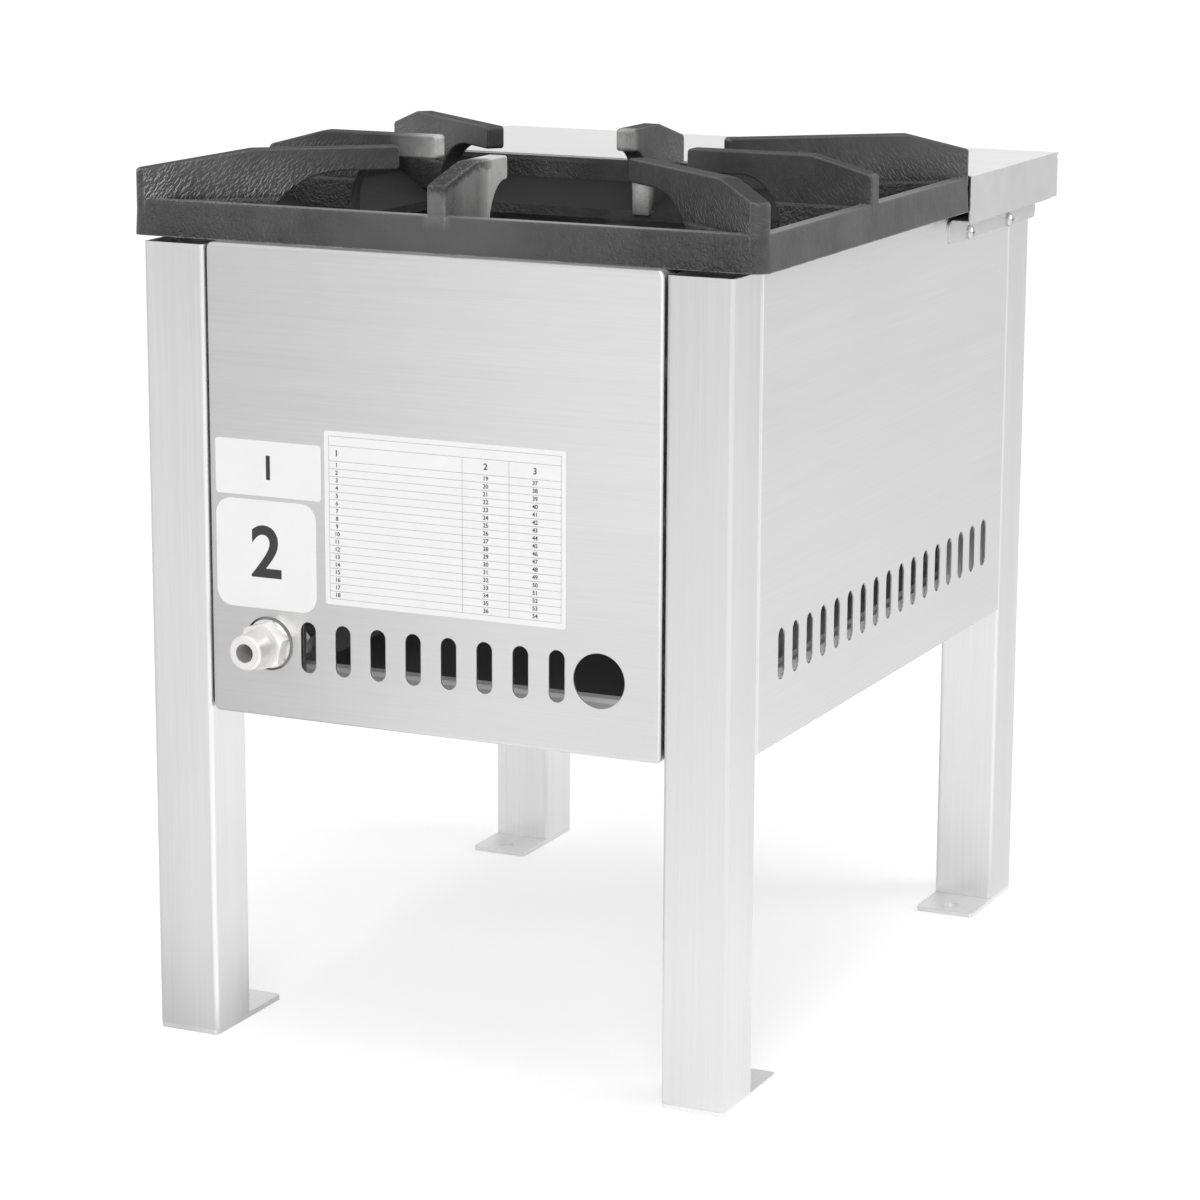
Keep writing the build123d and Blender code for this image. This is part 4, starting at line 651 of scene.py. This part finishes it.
made_of = {
    "tube_rear_left": ["leg_rear_left"],
    "tube_rear_right": ["leg_rear_right"],
    "tube_front_left": ["leg_front_left"],
    "tube_front_right": ["leg_front_right"],
    "stainless_plate": ["foot_plate_front_left", "foot_plate_front_right", "foot_plate_rear_left",
                        "foot_plate_rear_right"],
    "rear_sheet": ["rear_panel", "front_panel"],
    "side_sheet": ["side_panel_left", "side_panel_right"],
    "deck_sheet": ["front_deck", "tray_front"],
    "tray_sheet": ["drip_tray"],
    "runner_sheet": ["tray_runner_left", "tray_runner_right"],
    "shaded_inner_sheet": ["burner_rail_left", "burner_rail_right", "burner_bar_front", "burner_bar_rear",
                    "pilot_bracket", "inlet_bracket", "front_crossmember"],
    "cast_iron": ["pan_support"],
    "burner_iron": ["burner_body", "burner_head"],
    "screw": ["deck_screws"],
    "bright": ["handle_screws", "burner_bar_bolts", "burner_bolts", "valve_nut", "igniter_nut",
               "tray_handle"],
    "nickel": ["gas_inlet"],
    "brass": ["injector_holder", "injector", "valve_body", "pilot_burner", "feed_tube_nuts"],
    "steel": ["valve_spindle", "push_rod", "magnet_unit", "gas_pipe", "gas_pipe_nuts", "inlet_locknut",
              "push_spring"],
    "zinc": ["air_shutter"],
    "aluminium": ["feed_tube", "pilot_tube", "knob_scale"],
    "copper": ["thermocouple"],
    "washer": ["inlet_washer"],
    "black_plastic": ["control_knob", "igniter_body"],
    "red_plastic": ["igniter_button"],
    "ceramic": ["spark_electrode"],
    "insulation": ["igniter_lead"],
    "label": ["rear_labels"],
}
for material, names in made_of.items():
    for name in names:
        data = nodes[name].data
        data.materials.clear()
        data.materials.append(mats[material])

# ---------------------------------------------------------------- print and marks, in metres
PRINT_THICKNESS = 0.00008

# A figure's height as a share of the font's size, and how much bolder it is than the font, as a share
# of its height
FIGURE_SHARE = 0.70
BOLDER = 0.025

# Ruled table on the large plate: its two upright edges from the plates' low x, and its top and bottom
# down from their top. Its high x is on the left for someone who looks at it
TABLE_LOW_X = 0.003
TABLE_HIGH_X = 0.151
TABLE_TOP = 0.003
TABLE_BOTTOM = 0.0985
TITLE_ROW = 0.0055
HEADER_ROW = 0.009
ROWS = 18
RULE = 0.00035
ROW_FIGURE = 0.0024
HEADER_FIGURE = 0.0036

# Where the table's first two columns end, as shares of its width from its high x, and how far from
# there the numbers of the first one stand
COLUMN_ENDS = (0.58, 0.78)
FIRST_NUMBERS = 0.005

# The figures on the two small plates: how far each stands in from the plates' high x and up from
# their foot, and its height
PLATE_FIGURES = (
    ("1", 0.0352, 0.0832, 0.014),
    ("2", 0.0333, 0.0322, 0.030),
)

# Knob's scale over half a turn: its steps, and which ticks are long, with the radius of each kind's
# middle and its length
SCALE_STEPS = 12
STEPS_PER_FIGURE = 4
LONG_TICK = (0.0282, 0.0024)
SHORT_TICK = (0.0275, 0.0012)
TICK_WIDTH = 0.0005
SCALE_FIGURE = 0.0036
SCALE_FIGURE_RADIUS = 0.0325

# Line on the knob's grip: the radius of its middle, its width and its length
POINTER_RADIUS = 0.0150
POINTER_WIDTH = 0.0016
POINTER_LENGTH = 0.0110


def add_piece(name, data, material, body):
    """A piece with one material that rides on a body."""
    piece = bpy.data.objects.new(name, data)
    bpy.context.scene.collection.objects.link(piece)
    data.materials.append(mats[material])
    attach(piece, body)
    return piece


def add_bars(name, bars, y, material, body):
    """Thin flat bars, as one mesh, that stand proud of the plane at y by the print's thickness.

    Each bar is x, z, width, height and turn about Y in radians."""
    mesh = bpy.data.meshes.new(name)
    built = bmesh.new()
    for x, z, width, height, turn in bars:
        place = Matrix.Translation((x, y, z)) @ Matrix.Rotation(turn, 4, "Y")
        size = Matrix.Diagonal((width, PRINT_THICKNESS * 2, height, 1.0))
        bmesh.ops.create_cube(built, size=1.0, matrix=place @ size)
    built.to_mesh(mesh)
    built.free()
    add_piece(name, mesh, material, body)


def add_figures(name, text, place, height, line_step=0.0, faces_rear=True):
    """Plain bold figures on a face that looks to the rear or to the front."""
    curve = bpy.data.curves.new(name, "FONT")
    curve.body = text
    curve.size = height / FIGURE_SHARE
    curve.offset = height * BOLDER
    curve.space_line = line_step / curve.size if line_step else 1.0
    curve.align_x = "CENTER"
    curve.align_y = "CENTER"
    curve.extrude = PRINT_THICKNESS
    figures = add_piece(name, curve, "print", "frame")
    figures.location = place
    figures.rotation_euler = (math.pi / 2, 0.0, math.pi if faces_rear else 0.0)


def add_table():
    """Ruled table on the large plate: a title row, a header row and numbered rows."""
    low_x, high_x = plates_low[X] + TABLE_LOW_X, plates_low[X] + TABLE_HIGH_X
    top, bottom = plates_high[Z] - TABLE_TOP, plates_high[Z] - TABLE_BOTTOM
    face = plates_high[Y]
    under_title = top - TITLE_ROW
    under_header = under_title - HEADER_ROW
    row = (under_header - bottom) / ROWS
    columns = [high_x - (high_x - low_x) * share for share in COLUMN_ENDS]
    heights = [top, under_title] + [under_header - row * i for i in range(ROWS + 1)]
    bars = [((low_x + high_x) / 2, z, high_x - low_x, RULE, 0.0) for z in heights]
    bars += [(x, (top + bottom) / 2, RULE, top - bottom, 0.0) for x in (low_x, high_x)]
    bars += [(x, (under_title + bottom) / 2, RULE, under_title - bottom, 0.0) for x in columns]
    add_bars("table_lines", bars, face, "rule_line", "frame")
    middles = [high_x - FIRST_NUMBERS] + [(a + b) / 2 for a, b in zip(columns, columns[1:] + [low_x])]
    for i, x in enumerate(middles):
        numbers = "\n".join(str(ROWS * i + n + 1) for n in range(ROWS))
        middle_row = (x, face, (under_header + bottom) / 2)
        header = (x, face, under_title - HEADER_ROW / 2)
        add_figures(f"table_column_{i + 1}", numbers, middle_row, ROW_FIGURE, line_step=row)
        add_figures(f"table_head_{i + 1}", str(i + 1), header, HEADER_FIGURE)


def add_plate_figures():
    """One large plain figure on each of the two small plates."""
    for figure, inward_by, up_by, height in PLATE_FIGURES:
        place = (plates_high[X] - inward_by, plates_high[Y], plates_low[Z] + up_by)
        add_figures(f"plate_figure_{figure}", figure, place, height)


def add_knob_marks():
    """Ticks and the figures 0 to 3 round the knob, over its half turn, and a line on its grip."""
    x = (scale_low[X] + scale_high[X]) / 2
    z = (scale_low[Z] + scale_high[Z]) / 2
    face = scale_low[Y]
    bars = []
    for i in range(SCALE_STEPS + 1):
        turn = math.pi / SCALE_STEPS * i
        aside, up = -math.sin(turn), math.cos(turn)
        has_figure = i % STEPS_PER_FIGURE == 0
        radius, length = LONG_TICK if has_figure else SHORT_TICK
        bars.append((x + radius * aside, z + radius * up, TICK_WIDTH, length, -turn))
        if has_figure:
            figure = str(i // STEPS_PER_FIGURE)
            place = (x + SCALE_FIGURE_RADIUS * aside, face, z + SCALE_FIGURE_RADIUS * up)
            add_figures(f"knob_figure_{figure}", figure, place, SCALE_FIGURE, faces_rear=False)
    add_bars("knob_ticks", bars, face, "print", "frame")
    pointer = (x, z + POINTER_RADIUS, POINTER_WIDTH, POINTER_LENGTH, 0.0)
    add_bars("knob_pointer", [pointer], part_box("control_knob")[0][Y], "label", "knob")


def add_push_spring():
    """The spring behind the knob, as a piece of its own with its own mesh on the frame, in place of the
    part.
    """
    spring = bpy.data.objects.new("push_spring_coil", nodes["push_spring"].data.copy())
    bpy.context.scene.collection.objects.link(spring)
    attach(spring, "frame")
    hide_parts("push_spring")
    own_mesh(spring)


add_table()
add_plate_figures()
add_knob_marks()
add_push_spring()

# ---------------------------------------------------------------- camera, floor, world and lamps
# The camera's place in metres. In degrees, its turn from -Y towards +X, its tilt up and its roll. Its
# focal length, in pixels of a square picture that is FRAME_PIXELS wide
CAMERA_PLACE = (-0.97418, 2.12116, 0.75395)
CAMERA_TURN = 24.857
CAMERA_TILT = -12.564
CAMERA_ROLL = 0.243
FOCAL_PIXELS = 3775.36
FRAME_PIXELS = 1200
SENSOR_WIDTH = 36.0
FAR_CLIP = 50.0

# The floor's half width, and how far it lies below the feet, so that no two faces share a plane
FLOOR_REACH = 14.0
FLOOR_DROP = 0.0002

# Light that the floor adds to its own. The camera sees the first glow up to the near distance from the
# object and the second from the far distance on
FLOOR_GLOW = 0.40
FLOOR_GLOW_FAR = 0.55
GLOW_NEAR = 1.0
GLOW_FAR = 4.0

# In reflections it goes by the bearing from the object, in degrees from +Y towards +X, and is as many
# times stronger near the object as NEAR_GLOW says, fading out between the two distances
FLOOR_REFLECTED = ((-170, 0.24), (-130, 0.30), (-95, 0.50), (-45, 0.50), (0, 0.50), (19, 0.55), (34, 0.0),
                   (60, 0.20), (170, 0.24))
NEAR_GLOW = 1.35
NEAR_START = 0.1
NEAR_END = 0.9

WORLD_LIGHT = 0.55

# Square lamps: name, place and target in metres, width in metres and power in watts
LAMPS = (
    ("key", (-1.2, 3.4, 2.0), (0.0, 0.0, 0.3), 1.8, 44.0),
    ("top", (-0.2, 0.0, 3.0), (0.0, 0.0, 0.4), 2.0, 16.0),
    ("side", (-3.0, -1.4, 1.6), (0.0, 0.0, 0.3), 1.8, 20.0),
)


def add_camera():
    """The photograph's viewing angle and frame."""
    turn, tilt, roll = (math.radians(angle) for angle in (CAMERA_TURN, CAMERA_TILT, CAMERA_ROLL))
    ahead = Vector((math.sin(turn) * math.cos(tilt), -math.cos(turn) * math.cos(tilt), math.sin(tilt)))
    right = ahead.cross(Vector((0, 0, 1))).normalized()
    up = right.cross(ahead)
    across = math.cos(roll) * right + math.sin(roll) * up
    over = -math.sin(roll) * right + math.cos(roll) * up
    camera = bpy.data.objects.new("camera", bpy.data.cameras.new("camera"))
    bpy.context.scene.collection.objects.link(camera)
    bpy.context.scene.camera = camera
    axes = Matrix((across, over, -ahead)).transposed().to_4x4()
    camera.matrix_world = Matrix.Translation(CAMERA_PLACE) @ axes
    camera.data.sensor_width = SENSOR_WIDTH
    camera.data.lens = FOCAL_PIXELS / FRAME_PIXELS * SENSOR_WIDTH
    camera.data.clip_end = FAR_CLIP


def floor_material():
    """Matt white that adds a glow of its own to what the camera and reflections see."""
    tree = Tree(bpy.data.materials.new("floor"))
    ray = tree.add("ShaderNodeLightPath").outputs
    away = tree.vector("LENGTH", tree.coord)
    bearing = tree.math("ARCTAN2", tree.axis("X"), tree.axis("Y"))
    around = tree.remap(bearing, -math.pi, math.pi)
    glow_around = tree.ramp(around, *[(0.5 + degrees / 360, glow) for degrees, glow in FLOOR_REFLECTED])
    near = tree.remap(away, NEAR_START, NEAR_END, NEAR_GLOW, 1.0)
    reflected = tree.times(ray["Is Glossy Ray"], glow_around, near)
    seen_glow = tree.remap(away, GLOW_NEAR, GLOW_FAR, FLOOR_GLOW, FLOOR_GLOW_FAR)
    seen = tree.math("MULTIPLY", ray["Is Camera Ray"], seen_glow)
    matt = tree.add("ShaderNodeBsdfDiffuse", {"Color": grey(0.9)})
    strength = tree.math("ADD", seen, reflected)
    glow = tree.add("ShaderNodeEmission", {"Color": grey(1.0), "Strength": strength})
    tree.end(tree.add("ShaderNodeAddShader", {0: matt.outputs[0], 1: glow.outputs[0]}))
    return tree.owner


def add_floor():
    """Large pale floor that reads as white to the camera and keeps a soft shadow."""
    mesh = bpy.data.meshes.new("floor")
    built = bmesh.new()
    bmesh.ops.create_grid(built, x_segments=1, y_segments=1, size=FLOOR_REACH)
    built.to_mesh(mesh)
    built.free()
    mesh.materials.append(floor_material())
    floor = bpy.data.objects.new("floor", mesh)
    floor.location.z = -FLOOR_DROP
    bpy.context.scene.collection.objects.link(floor)


def add_world():
    """White to the camera and in reflections, dimmer as a light."""
    world = bpy.data.worlds.new("studio")
    bpy.context.scene.world = world
    tree = Tree(world, "ShaderNodeOutputWorld")
    ray = tree.add("ShaderNodeLightPath").outputs
    seen = tree.math("MAXIMUM", ray["Is Camera Ray"], ray["Is Glossy Ray"])
    light = tree.add("ShaderNodeBackground", {"Color": grey(1.0), "Strength": WORLD_LIGHT})
    white = tree.add("ShaderNodeBackground", {"Color": grey(1.0), "Strength": 1.0})
    tree.end(tree.add("ShaderNodeMixShader", {0: seen, 1: light.outputs[0], 2: white.outputs[0]}))


def add_lamp(name, place, target, width, power):
    """A square lamp that points at a target."""
    data = bpy.data.lights.new(name, "AREA")
    data.size = width
    data.energy = power
    lamp = bpy.data.objects.new(name, data)
    lamp.location = place
    lamp.rotation_euler = (Vector(target) - Vector(place)).to_track_quat("-Z", "Y").to_euler()
    bpy.context.scene.collection.objects.link(lamp)


add_camera()
add_floor()
add_world()
for lamp in LAMPS:
    add_lamp(*lamp)

bpy.context.scene.view_settings.view_transform = "Standard"
